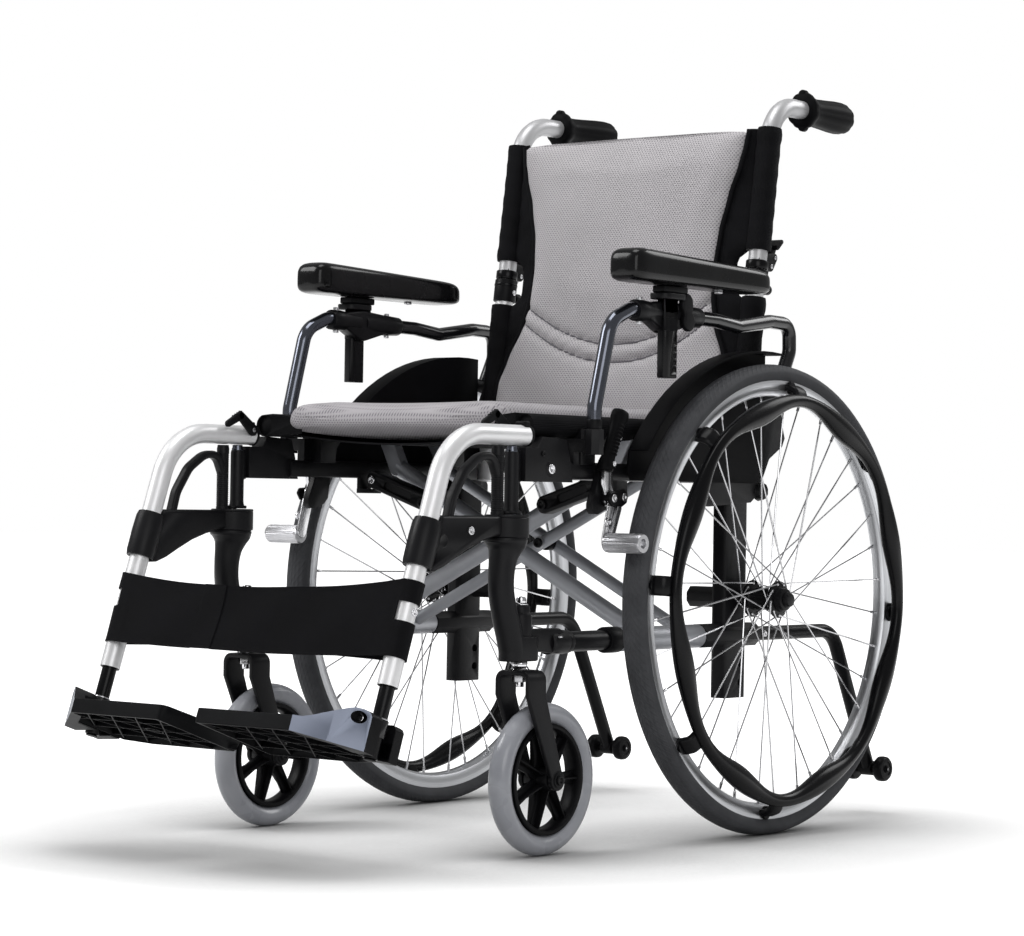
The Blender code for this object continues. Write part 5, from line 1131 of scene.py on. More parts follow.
def back_frame():
    post = pipe([along_back(0.4545), along_back(0.7085)], TUBE_R, SILVER, None, 7)
    collar = peg(along_back(0.7075), along_back(0.7388), 0.0158, PLASTIC, 44, 0.0014)
    band = peg(along_back(0.7290), along_back(0.7330), 0.0163, GLOSS, 44, 0.0006)
    foot = block((POST_X + 0.004, lean_y(0.52) - 0.009, 0.478), (SIDE_X + 0.0067, lean_y(0.52) + 0.009, 0.552),
                 CAST, 0.002)
    lug = side_plate(hull([(lean_y(0.722), 0.722, 0.012), (*HINGE, 0.006)]), POST_X - 0.004, POST_X + 0.004, ZINC)
    pin = peg((POST_X - 0.0108, *HINGE), (POST_X + 0.0108, *HINGE), 0.0032, ZINC)
    neck = peg(along_back(0.714, back=0.010), (POST_X, 0.0745, 0.714), 0.0042, ZINC, 24)
    knob = peg((POST_X, 0.0735, 0.714), (POST_X, 0.0855, 0.714), 0.0068, PLASTIC, 32, 0.0018)
    stud = screw(along_back(0.7200, POST_X - 0.0152), (-1, 0, 0), 0.0036, CHROME, 0.0022)
    rivet = screw((POST_X + 0.0152, lean_y(0.7200), 0.7200), ACROSS, 0.0036, CHROME, 0.0022)
    settle_both(join(post, collar, band, foot, lug, pin, neck, knob, stud, rivet), "back_post", "side")

    # The cane takes the darker, painted-shade copy of the frame's silver.
    cane = pipe(rounded([along_back(0.7395), CANE_TOP, CANE_TAIL], 0.058, 16), TUBE_R, CANE, None, 8)
    rim = peg(along_back(0.7396), along_back(0.7515), 0.0152, GLOSS, 44, 0.0016)
    lugs = []
    for side in (-1, 1):
        inner = POST_X + side * 0.0043
        outer = POST_X + side * 0.0090
        lugs.append(side_plate(hull([(lean_y(0.751), 0.751, 0.0095), (*HINGE, 0.0070), (*LATCH, 0.0060)]),
                               min(inner, outer), max(inner, outer), PLASTIC))
    cross = peg((POST_X - 0.0104, *LATCH), (POST_X + 0.0104, *LATCH), 0.0026, ZINC)
    settle_both(join(cane, rim, *lugs, cross), "back_cane", "back")

    y, z = LATCH
    lever = side_plate(hull([(y, z, 0.0048), (y + 0.003, z + 0.012, 0.0045), (y + 0.012, z + 0.021, 0.003)]),
                       POST_X - 0.0039, POST_X + 0.0039, PLASTIC, 0.0012)
    tab = side_plate(hull([(y + 0.0045, z + 0.0145, 0.0038), (y + 0.0145, z + 0.0225, 0.0030)]),
                     POST_X - 0.0112, POST_X + 0.0112, PLASTIC, 0.0016)
    settle_both(join(lever, tab), "back_latch", "back_latch")


def push_grips():
    slope = (CANE_TAIL - CANE_TOP).normalized()

    def at(y):
        return CANE_TOP + slope * ((y - CANE_TOP.y) / slope.y)

    def faceted(radius):
        points = []
        for i in range(48):
            a = 2 * pi * i / 48
            facet = 1 - 0.055 * (0.5 + 0.5 * cos(8 * a + pi / 8)) ** 2
            points.append((0.94 * radius * facet * cos(a), radius * facet * sin(a)))
        return points
    stations = [(0.1640, 0.0150), (0.1644, 0.0225), (0.1660, 0.0246), (0.1710, 0.0250), (0.1755, 0.0240),
                (0.1810, 0.0206), (0.1870, 0.0192), (0.1980, 0.0192), (0.2200, 0.0204), (0.2420, 0.0218),
                (0.2600, 0.0222), (0.2720, 0.0212), (0.2790, 0.0186), (0.2832, 0.0140), (0.2850, 0.0060)]
    body = swept([at(y) for y, r in stations], [faceted(r) for y, r in stations], ACROSS, GRIP, 50)
    ears = []
    for rise in (0.0222, -0.0222):
        middle = at(0.1700) + Vector((0, 0, rise))
        ears.append(peg(middle - slope * 0.0050, middle + slope * 0.0050, 0.0062, GRIP, 24, 0.0016))
    settle_both(join(body, *ears), "push_grip", "back")


# Armrests

CLAMP_TOP = 0.690
ARM_BAR_Z = CLAMP_TOP - 0.0235
ARM_FOOT = (-0.3458, 0.5165)
PAD_BOTTOM = CLAMP_TOP + 0.0095
PAD_TOP = PAD_BOTTOM + 0.0425
PAD_FRONT_Y = -0.307
PAD_BACK_Y = -0.008


def on_post(wide, tall, corner, below, height, finish, ease, segments=2):
    # A rounded upright box round the armrest's post, from a height below the clamp's top.
    return plate([(PAD_X + u, POST_Y + v, CLAMP_TOP - below) for u, v in round_box(wide, tall, corner, 6)],
                 (0, 0, height), finish, ease, segments)


def armrests():
    bar = ARM_BAR_Z
    foot_y, foot_z = ARM_FOOT
    pivot_y, pivot_z = ARM_PIVOT

    def arm_tube(spots, bend, finish):
        return pipe(rounded([(ARM_X, y, z) for y, z in spots], bend, 12), ARM_TUBE_R, finish, None, 7)
    front = arm_tube([(foot_y, foot_z), (foot_y, foot_z + 0.0265), (foot_y + 0.0292, bar - 0.0165),
                      (foot_y + 0.0717, bar + 0.001), (POST_Y - 0.030, bar)], 0.035, DARK_TUBE)
    rear = arm_tube([(POST_Y + 0.0500, bar - 0.0025), (POST_Y + 0.1146, bar - 0.0035), (POST_Y + 0.1666, bar - 0.009),
                     (pivot_y - 0.030, bar + 0.0015), (pivot_y + 0.0175, bar + 0.0005),
                     (pivot_y + 0.0187, bar - 0.036), (pivot_y, pivot_z + 0.004)], 0.022, BLACK_TUBE)
    tip = peg((ARM_X, foot_y, foot_z - 0.0002), (ARM_X, foot_y, foot_z + 0.012), 0.0097, PLASTIC, 36, 0.001)
    eye = spun([(0.0060, 0.2386), (0.0096, 0.2386), (0.0102, 0.2394), (0.0102, 0.2572), (0.0094, 0.2582),
                (0.0089, 0.2582), (0.0089, 0.2560), (0.0060, 0.2560)],
               (0, *ARM_PIVOT), ACROSS, PLASTIC, 40)
    barrel = join(on_post(0.0148, 0.0235, 0.011, 0.058, 0.0578, CAST, 0.0016, 3),
                  on_post(0.0160, 0.0250, 0.012, 0.058, 0.0110, CAST, 0.0018, 3),
                  on_post(0.0154, 0.0242, 0.0115, 0.0080, 0.0078, CAST, 0.0014, 3))
    saddle = side_plate(hull([(POST_Y - 0.030, bar - 0.0010, 0.0120), (POST_Y, bar - 0.0060, 0.0205),
                              (POST_Y + 0.045, bar - 0.0020, 0.0125)]), ARM_X - 0.0095, ARM_X + 0.0115, CAST, 0.003, 3)
    barrel, saddle = (cut_away(piece, on_post(0.0086, 0.0146, 0.0070, 0.09, 0.12, CAST, 0))
                      for piece in (barrel, saddle))

    def socket(spots):
        return pipe([(ARM_X, POST_Y + v, bar - drop_by) for v, drop_by, r in spots], 0.013, CAST,
                    [r for v, drop_by, r in spots], 8)
    sockets = [socket([(-0.0600, 0.0004, 0.0122), (-0.0585, 0.0004, 0.0134), (-0.0440, 0.0006, 0.0140),
                       (-0.0260, 0.0010, 0.0124), (-0.0050, 0.0020, 0.0118)]),
               socket([(0.0050, 0.0020, 0.0118), (0.0300, 0.0022, 0.0142), (0.0560, 0.0026, 0.0138),
                       (0.0765, 0.0028, 0.0126), (0.0780, 0.0028, 0.0114)])]
    nuts = []
    for side in (-1, 1):
        for x, y, z, start, end, radius in ((ARM_X, POST_Y - 0.0480, bar - 0.0005, 0.0120, 0.0172, 0.0040),
                                            (ARM_X + 0.0008, POST_Y + 0.0560, bar - 0.003, 0.0118, 0.0168, 0.0036)):
            nuts.append(peg((x, y, z + side * start), (x, y, z + side * end), radius, ZINC, 6, 0.0005))
    knob_y, knob_z = POST_Y + 0.030, bar + 0.001
    wings = []
    for i in range(40):
        a = 2 * pi * i / 40
        r = 0.0160 + 0.0080 * cos(2 * (a - radians(100)))
        wings.append((knob_y + r * cos(a), knob_z + r * sin(a)))
    paddle = side_plate(wings, ARM_X + 0.0125, ARM_X + 0.0215, PLASTIC, 0.0030, 4)
    stalk = peg((ARM_X + 0.005, knob_y, knob_z), (ARM_X + 0.014, knob_y, knob_z), 0.0088, PLASTIC, 36)
    settle_both(join(front, rear, tip, eye, barrel, *sockets, saddle, *nuts, paddle, stalk),
                "armrest_frame", "armrest")

    post = on_post(0.0082, 0.0142, 0.0066, 0.106, 0.1095, GLOSS, 0.0010)
    notches = []
    for i in range(5):
        z = CLAMP_TOP - 0.098 + 0.0085 * i
        notches.append(block((PAD_X + 0.0075, POST_Y + 0.0020, z), (PAD_X + 0.02, POST_Y + 0.0090, z + 0.0042),
                             GLOSS, 0))
    post = cut_away(post, *notches)
    head = block((PAD_X - 0.0100, POST_Y - 0.020, CLAMP_TOP + 0.0003),
                 (PAD_X + 0.0100, POST_Y + 0.030, PAD_BOTTOM - 0.0003), PLASTIC, 0.002)
    rib = block((PAD_X - 0.0096, POST_Y + 0.02, CLAMP_TOP - 0.002),
                (PAD_X + 0.0096, POST_Y + 0.0225, CLAMP_TOP + 0.004), PLASTIC, 0.0006, 1)
    bolt = screw((PAD_X, POST_Y + 0.110, PAD_BOTTOM + 0.0002), (0, 0, -1), 0.0052, ZINC, 0.0034)
    settle_both(join(post, head, rib, bolt), "armrest_post", "armrest_top")

    rings = []
    length = PAD_BACK_Y - PAD_FRONT_Y
    for t in (0.0, 0.006, 0.020, 0.050, 0.10, 0.25, 0.5, 0.75, 0.90, 0.95, 0.98, 0.994, 1.0):
        edge = min(t, 1 - t) * length
        fill = swell(edge / (0.020 if t < 0.5 else 0.024))
        half_x = 0.0260 - 0.0125 * (1 - fill)
        top = PAD_TOP - 0.012 * t - 0.0090 * (1 - fill) ** 1.3
        low = PAD_BOTTOM + 0.0015 * (1 - fill)
        tall = (top - low) / 2
        squeeze = 0.42 + 0.58 * fill ** 0.5
        ring = []
        for i in range(40):
            a = 2 * pi * (i + 0.5) / 40
            ca, sa = cos(a), sin(a)
            u = half_x * (abs(ca) ** 0.42) * (1 if ca > 0 else -1)
            v = tall * (abs(sa) ** 0.42) * (1 if sa > 0 else -1) * squeeze
            if sa > 0:
                v += 0.0012 * max(0.0, 1 - (u / half_x) ** 2) * fill
                u *= 1 - 0.045 * sa
            ring.append((PAD_X + u, PAD_FRONT_Y + length * t, low + tall + v))
        rings.append(ring)
    pad = lofted(rings, VINYL, angle=60, levels=1)
    for side in ("left", "right"):
        twin = copied(pad) if side == "left" else mirrored(pad)
        settle(twin, f"armrest_pad_{side}", f"armrest_top_{side}")
    bpy.data.objects.remove(pad)


# Wheel locks

BRAKE_X = 0.2398
BRAKE = (-0.3050, 0.432)
ROLLER = (-0.3180, 0.378)


def wheel_locks():
    y, z = BRAKE
    arm = side_plate([(y + u, z + v) for u, v in
                      [(-0.0095, -0.004), (-0.0085, 0.006), (-0.0125, 0.018), (-0.0120, 0.030), (-0.0095, 0.046),
                       (0.0040, 0.046), (0.0015, 0.030), (0.0020, 0.018), (0.0085, 0.006), (0.0095, -0.004),
                       (0.0040, -0.0098), (-0.0040, -0.0098)]],
                     BRAKE_X + 0.0030, BRAKE_X + 0.0088, STEEL, 0.0012, 2)
    hub = peg((BRAKE_X + 0.0003, y, z), (BRAKE_X + 0.0113, y, z), 0.0098, PLASTIC, 36, 0.0012)
    x = BRAKE_X + 0.0065
    spots = [(-0.0090, 0.0335, 0.0086), (-0.0088, 0.0350, 0.0112), (-0.0082, 0.0390, 0.0120),
             (-0.0060, 0.0440, 0.0112), (-0.0020, 0.0520, 0.0096), (0.0040, 0.0660, 0.0094),
             (0.0120, 0.0840, 0.0098), (0.0165, 0.0945, 0.0106), (0.0180, 0.0980, 0.0124),
             (0.0205, 0.1035, 0.0126), (0.0222, 0.1075, 0.0112), (0.0230, 0.1095, 0.0060)]
    route = [(x, y + a, z + b) for a, b, r in spots]
    grip = swept(route, [oval(r * 0.84, r, 28) for a, b, r in spots], ACROSS, GRIP, 50)
    ridges = []
    for i in range(9):
        t = i / 8
        a, b = 0.0005 + 0.0145 * t, 0.0560 + 0.0345 * t
        middle = Vector((x, y + a, z + b))
        up = Vector((0, 0.36, 0.93)).normalized()
        ridges.append(spun([(0.0082, -0.0010), (0.0092, -0.0010), (0.0096, 0), (0.0092, 0.0010), (0.0082, 0.0010)],
                           middle, up, GRIP, 28))
    pinch = screw((x + 0.0086, y - 0.0030, z + 0.0430), ACROSS, 0.0034, CHROME, 0.0026)
    settle_both(join(arm, hub, grip, *ridges, pinch), "brake_lever", "brake_lever")

    in_x = BRAKE_X + 0.0118
    ry, rz = ROLLER
    web = side_plate(hull([(y, z, 0.0090), (ry, rz + 0.004, 0.0084)]), in_x, in_x + 0.0038, STEEL, 0.0010)
    outer = side_plate([(y + u, z + v) for u, v in
                        [(-0.014, 0.0075), (-0.018, 0.0010), (-0.012, -0.0085), (0.010, -0.0100), (0.020, -0.0050),
                         (0.022, 0.0060), (0.014, 0.0125), (0, 0.0085)]], in_x + 0.0040, in_x + 0.0085, PLASTIC, 0.0016)
    rivets = [screw((in_x + 0.0084, y - 0.0080, z + 0.0005), ACROSS, 0.0052, STEEL, 0.0022, 0.35),
              screw((in_x + 0.0084, y + 0.0130, z + 0.0020), ACROSS, 0.0052, STEEL, 0.0022, 0.35),
              screw((in_x + 0.0036, ry - 0.0015, rz + 0.0250), ACROSS, 0.0056, CHROME, 0.0040, 0.4)]
    hook = side_plate(hull([(y + 0.006, z - 0.012, 0.0046), (ry + 0.007, rz + 0.014, 0.0052)]),
                      in_x + 0.0040, in_x + 0.0072, STEEL, 0.0008)
    profile = [(0.0052, in_x + 0.002), (0.0104, in_x + 0.002), (0.0116, in_x + 0.0032), (0.0118, in_x + 0.005),
               (0.0118, 0.3086), (0.0112, 0.3098), (0.0060, 0.3098), (0.0052, 0.3080)]
    roller = spun(profile, (0, ry, rz), ACROSS, ZINC, 72)
    flutes = ring_of(peg((in_x + 0.006, ry, rz + 0.0117), (0.3072, ry, rz + 0.0117), 0.00048, ZINC, 8, 0), 36,
                     (0, ry, rz))
    core = peg((in_x + 0.003, ry, rz), (0.3062, ry, rz), 0.0053, STEEL, 6, 0.0004)
    settle_both(join(web, outer, *rivets, hook, roller, flutes, core), "brake_shoe", "brake_shoe")


# Anti-tippers

def anti_tippers():
    y, z = 0.333, 0.063
    route = rounded([(SIDE_X, 0.0105, LOWER_Z), (SIDE_X, 0.235, LOWER_Z), (SIDE_X, y, z)], 0.045, 14)
    bar = pipe(route, 0.0095, COAT, None, 7)
    eye = spun([(0.0034, -0.0094), (0.0095, -0.0094), (0.0102, -0.0086), (0.0102, 0.0086), (0.0095, 0.0094),
                (0.0034, 0.0094)], (SIDE_X, y, z), ACROSS, PLASTIC, 36)
    button = screw((SIDE_X + 0.0090, 0.0560, LOWER_Z), ACROSS, 0.0040, CHROME, 0.0030, 0.3)
    settle_both(join(bar, eye, button), "anti_tipper", "anti_tipper")
    axle = peg((SIDE_X - 0.0330, y, z), (SIDE_X + 0.0330, y, z), 0.0030, ZINC)
    rollers = []
    for side in (-1, 1):
        rollers.append(spun([(0.0030, 0.0100), (0.0062, 0.0100), (0.0068, 0.0160), (0.0150, 0.0168), (0.0170, 0.0190),
                             (0.0175, 0.0235), (0.0170, 0.0285), (0.0150, 0.0308), (0.0105, 0.0314), (0.0095, 0.0300),
                             (0.0055, 0.0300), (0.0048, 0.0318), (0.0030, 0.0318)],
                            (SIDE_X, y, z), (side, 0, 0), PLASTIC, 44))
        rollers.append(screw((SIDE_X + side * 0.0314, y, z), (side, 0, 0), 0.0038, COAT, 0.0024))
    settle_both(join(axle, *rollers), "anti_tipper_wheels", "anti_tipper_wheels")


# Fold linkage

BRACE_FRONT_Y = -0.195
BRACE_REAR_Y = -0.100
BRACE_STEP = 0.023
BRACE_END_X = 0.190
LINK_FRONT_Y = BRACE_FRONT_Y - BRACE_STEP - 0.0098 - 0.022
LINK_PIN_R = BRACE_R + 0.1122
LINK_END = (0.190, 0.452)


def ahead(spot, reach):
    return spot - Vector((0, reach, 0))


def braces():
    for side, name in ((1, "left"), (-1, "right")):
        step = 0 if side > 0 else -BRACE_STEP
        along = Vector((-side * cos(BRACE_ANGLE), 0, sin(BRACE_ANGLE)))
        foot = Vector((side * SIDE_X, 0, LOWER_Z))
        top = foot + along * ((SIDE_X + BRACE_END_X) / cos(BRACE_ANGLE))
        rail_x = -side * RAIL_X
        # The braces take the painted-shade copy of the frame's silver; the seat rail keeps the plain silver.
        parts = [spun([(0.0134, -0.2565), (0.0144, -0.2565), (0.0151, -0.2556), (0.0151, -0.0850), (0.0144, -0.0841),
                       (0.0134, -0.0841)], (foot.x, 0, LOWER_Z), ALONG, BRACE, 52),
                 pipe([(rail_x, -0.4280, SEAT_Z), (rail_x, 0.0020, SEAT_Z)], TUBE_R, SILVER, None, 7)]
        for start, end in ((-0.4300, -0.4240), (-0.0020, 0.0040)):
            parts.append(peg((rail_x, start, SEAT_Z), (rail_x, end, SEAT_Z), 0.0129, PLASTIC, 40, 0.0008))
        for y, wide, tall in ((BRACE_FRONT_Y + step, 0.018, 0.024), (BRACE_REAR_Y + step, 0.012, 0.017)):
            at = Vector((0, y, 0))
            parts.append(swept([foot + at + along * 0.0135, top + at], oval(wide / 2, tall / 2, 32), ALONG,
                               BRACE))
            web = hull([(-side * BRACE_END_X, top.z, tall / 2 - 0.0005), (rail_x, SEAT_Z, 0.0115)])
            parts.append(plate([(x, y - wide / 2 + 0.001, z) for x, z in web], (0, wide - 0.002, 0), BRACE, 0.002, 3))
            if side > 0:
                cross = Vector((0, y, CROSS_Z))
                reach = BRACE_STEP + wide / 2
                parts += [peg(cross, ahead(cross, reach + 0.002), 0.0049, ZINC),
                          peg(cross, ahead(cross, BRACE_STEP - wide / 2 - 0.0003), 0.0100, PLASTIC, 36),
                          peg(ahead(cross, reach + 0.0003), ahead(cross, reach + 0.0016), 0.0085, ZINC, 32, 0.0003),
                          screw(ahead(cross, reach + 0.0014), (0, -1, 0), 0.0066, COAT, 0.0040)]
        bolt_at = foot + along * LINK_PIN_R
        parts.append(peg(bolt_at + Vector((0, BRACE_FRONT_Y + step, 0)),
                         bolt_at + Vector((0, LINK_FRONT_Y - 0.001, 0)), 0.0040, ZINC))
        parts.append(screw(bolt_at + Vector((0, LINK_FRONT_Y - 0.0006, 0)), (0, -1, 0), 0.0072, COAT, 0.0042))
        settle(join(*parts), f"brace_{name}", f"brace_{name}")

    end_x, end_z = LINK_END
    pin_x, pin_z = -SIDE_X + LINK_PIN_R * cos(BRACE_ANGLE), LOWER_Z + LINK_PIN_R * sin(BRACE_ANGLE)
    front = LINK_FRONT_Y
    arm = plate([(x, front, z) for x, z in hull([(pin_x, pin_z, 0.0117), (end_x, end_z, 0.0117)], 10)],
                (0, 0.0218, 0), CAST, 0.0030, 4)
    dent = hull([(pin_x + (end_x - pin_x) * k, pin_z + (end_z - pin_z) * k, 0.0056) for k in (0.3, 0.72)], 6)
    arm = cut_away(arm, plate([(x, front - 0.002, z) for x, z in dent], (0, 0.0050, 0), CAST, 0))
    end = screw((end_x, front + 0.0003, end_z), (0, -1, 0), 0.0056, CHROME, 0.0030)
    settle_both(join(arm, end), "link_arm", "link")


# Upholstery

SEAT_FRONT_Y = -0.440
SEAT_BACK_Y = -0.003
SEAT_LONG = SEAT_BACK_Y - SEAT_FRONT_Y
SEAT_TOP = 0.550
COVER_TOP = 0.930
COVER_JOIN = 0.736
COVER_LOW = 0.520
COVER_GAP = (0.702, 0.765)


def puffed(piece, held, cap, pressure=3.5):
    # Blows the stuffed piece up a little, with the held points kept, and makes the result its own.
    start = [vertex.co.copy() for vertex in piece.data.vertices]
    group = piece.vertex_groups.new(name="sewn")
    group.add(held, 1.0, "REPLACE")
    take(piece)
    tool = piece.modifiers.new("stuffing", "CLOTH")
    cloth = tool.settings
    cloth.quality = 5
    cloth.mass = 0.35
    cloth.tension_stiffness = 22
    cloth.compression_stiffness = 22
    cloth.shear_stiffness = 8
    cloth.bending_stiffness = 1.2
    cloth.use_pressure = True
    cloth.uniform_pressure_force = pressure
    cloth.effector_weights.gravity = 0
    cloth.vertex_group_mass = "sewn"
    tool.collision_settings.use_collision = False
    tool.point_cache.frame_start = 1
    tool.point_cache.frame_end = 20
    for number in range(1, 21):
        bpy.context.scene.frame_set(number)
    take(piece)
    bpy.ops.object.modifier_apply(modifier=tool.name)
    for vertex, home in zip(piece.data.vertices, start):
        gone = vertex.co - home
        if gone.length > cap:
            vertex.co = home + gone * (cap / gone.length)
    bpy.context.scene.frame_set(1)
    return piece


def pillow(rows, finish):
    # A closed pad from rows of (top points, bottom points), with its rim points merged.
    rings = [top + bottom[::-1] for top, bottom in rows]
    return lofted(rings, finish, angle=70)


def seat_edge(t):
    # Half width of the grey seat panel, drawn in a little toward the front corners.
    return 0.183 - 0.010 * max(0.0, 1 - t / 0.10) ** 2


def seat_cover():
    columns, rows = 44, 56
    body = []
    for j in range(rows + 1):
        t = (j / rows) ** 1.15
        y = SEAT_FRONT_Y + SEAT_LONG * t
        roll = swell((y - SEAT_FRONT_Y) / 0.020)
        roll_back = swell((SEAT_BACK_Y - y) / 0.012)
        half = seat_edge(t) - 0.010 * (1 - roll)
        middle = 0.5270 - 0.0060 * (1 - roll)
        top, low = [], []
        for i in range(columns + 1):
            s = -1 + 2 * i / columns
            puff = swell((1 - abs(s)) * half / 0.020) * (0.12 + 0.88 * roll) * (0.3 + 0.7 * roll_back)
            droop = 0.0050 * (1 - s * s) * roll
            top.append((half * s, y, middle + (SEAT_TOP - 0.003 - middle) * puff - droop))
            low.append((half * s, y, middle - 0.0145 * puff - droop))
        body.append((top, low))
    pad = pillow(body, SEAT_MESH)
    held = [v.index for v in pad.data.vertices
            if abs(v.co.x) > 0.168 or v.co.y > SEAT_BACK_Y - 0.008 or v.co.y < SEAT_FRONT_Y + 0.001]
    puffed(pad, held, 0.006)
    rounder(pad, 1)
    seam_y = SEAT_FRONT_Y + 0.0175
    for vertex in pad.data.vertices:
        x, y, z = vertex.co
        if z > 0.530:
            side_seam = seat_edge((y - SEAT_FRONT_Y) / SEAT_LONG) - 0.012
            vertex.co.z -= (0.0022 * exp(-((y - seam_y) / 0.0022) ** 2)
                            + 0.0012 * exp(-((abs(x) - side_seam) / 0.0020) ** 2))
    shade(pad, 60)

    flaps = []
    for side in (-1, 1):
        rings = []
        for j in range(41):
            y = SEAT_FRONT_Y + 0.006 + (SEAT_LONG - 0.008) * j / 40
            start = 0.172 - 0.030 * max(0.0, 1 - (y - SEAT_FRONT_Y) / 0.05) ** 2
            wave = 0.0006 * sin(j * 1.9) + 0.0004 * sin(j * 0.7)
            path = [(start, 0.5280 + wave), (0.188, 0.5330 + wave), (0.200, 0.5342)]
            for k in range(9):
                a = radians(95 - 24 * k)
                path.append((RAIL_X + 0.0142 * cos(a), SEAT_Z + 0.0142 * sin(a)))
            path += [(0.196, 0.5060), (start, 0.5085)]
            rings.append([(side * u, y, v) for u, v in path])
        flap = lofted(rings, NYLON, angle=60)
        rail = peg((side * RAIL_X, -0.5, SEAT_Z), (side * RAIL_X, 0.1, SEAT_Z), 0.01285, NYLON, 40, 0)
        flaps.append(cut_away(flap, rail))
        edge = [(side * (seat_edge(t) - 0.001), SEAT_FRONT_Y + SEAT_LONG * t, 0.5290)
                for t in [0.03 + 0.95 * i / 30 for i in range(31)]]
        flaps.append(pipe(edge, 0.0024, NYLON, None, 4))
    sling = []
    for j in range(15):
        y = SEAT_FRONT_Y + 0.020 + 0.405 * j / 14
        ring = []
        for i in range(25):
            s = -1 + 2 * i / 24
            ring.append((0.186 * s, y, 0.5100 - 0.0130 * (1 - s * s)))
        sling.append(ring + [(p[0], p[1], p[2] - 0.0022) for p in ring[::-1]])
    under = lofted(sling, SLING, angle=60)
    seat = join(pad, *flaps, under)
    settle(seat, "seat_cover", "seat")
    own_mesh(seat)


def cover_half(z):
    # Half width of the grey back panel: wide at the top, drawn in at the waist and wide again below.
    marks = [(0.515, 0.202), (0.545, 0.200), (0.590, 0.197), (0.624, 0.185), (0.670, 0.165), (0.703, 0.1575),
             (0.748, 0.1560), (0.793, 0.1600), (0.839, 0.1700), (0.885, 0.1840), (0.905, 0.1890), (0.930, 0.1920)]
    for (z0, h0), (z1, h1) in zip(marks, marks[1:]):
        if z <= z1:
            k = (z - z0) / (z1 - z0)
            k = k * k * (3 - 2 * k) * 0.5 + k * 0.5
            return h0 + (h1 - h0) * k
    return marks[-1][1]


def lumbar(x, low):
    # Height of a sewn lumbar channel: two of them run across the back in a shallow U.
    centre = 0.6180 if low else 0.6430
    return centre + 0.0545 * (abs(x) / 0.155) ** 2.0


def cover_front(x, z):
    # Depth of the padded front at a point, ahead of the canes' line.
    sag = 0.0105 * (1 - (x / 0.20) ** 2)
    return lean_y(z) - 0.0160 + sag


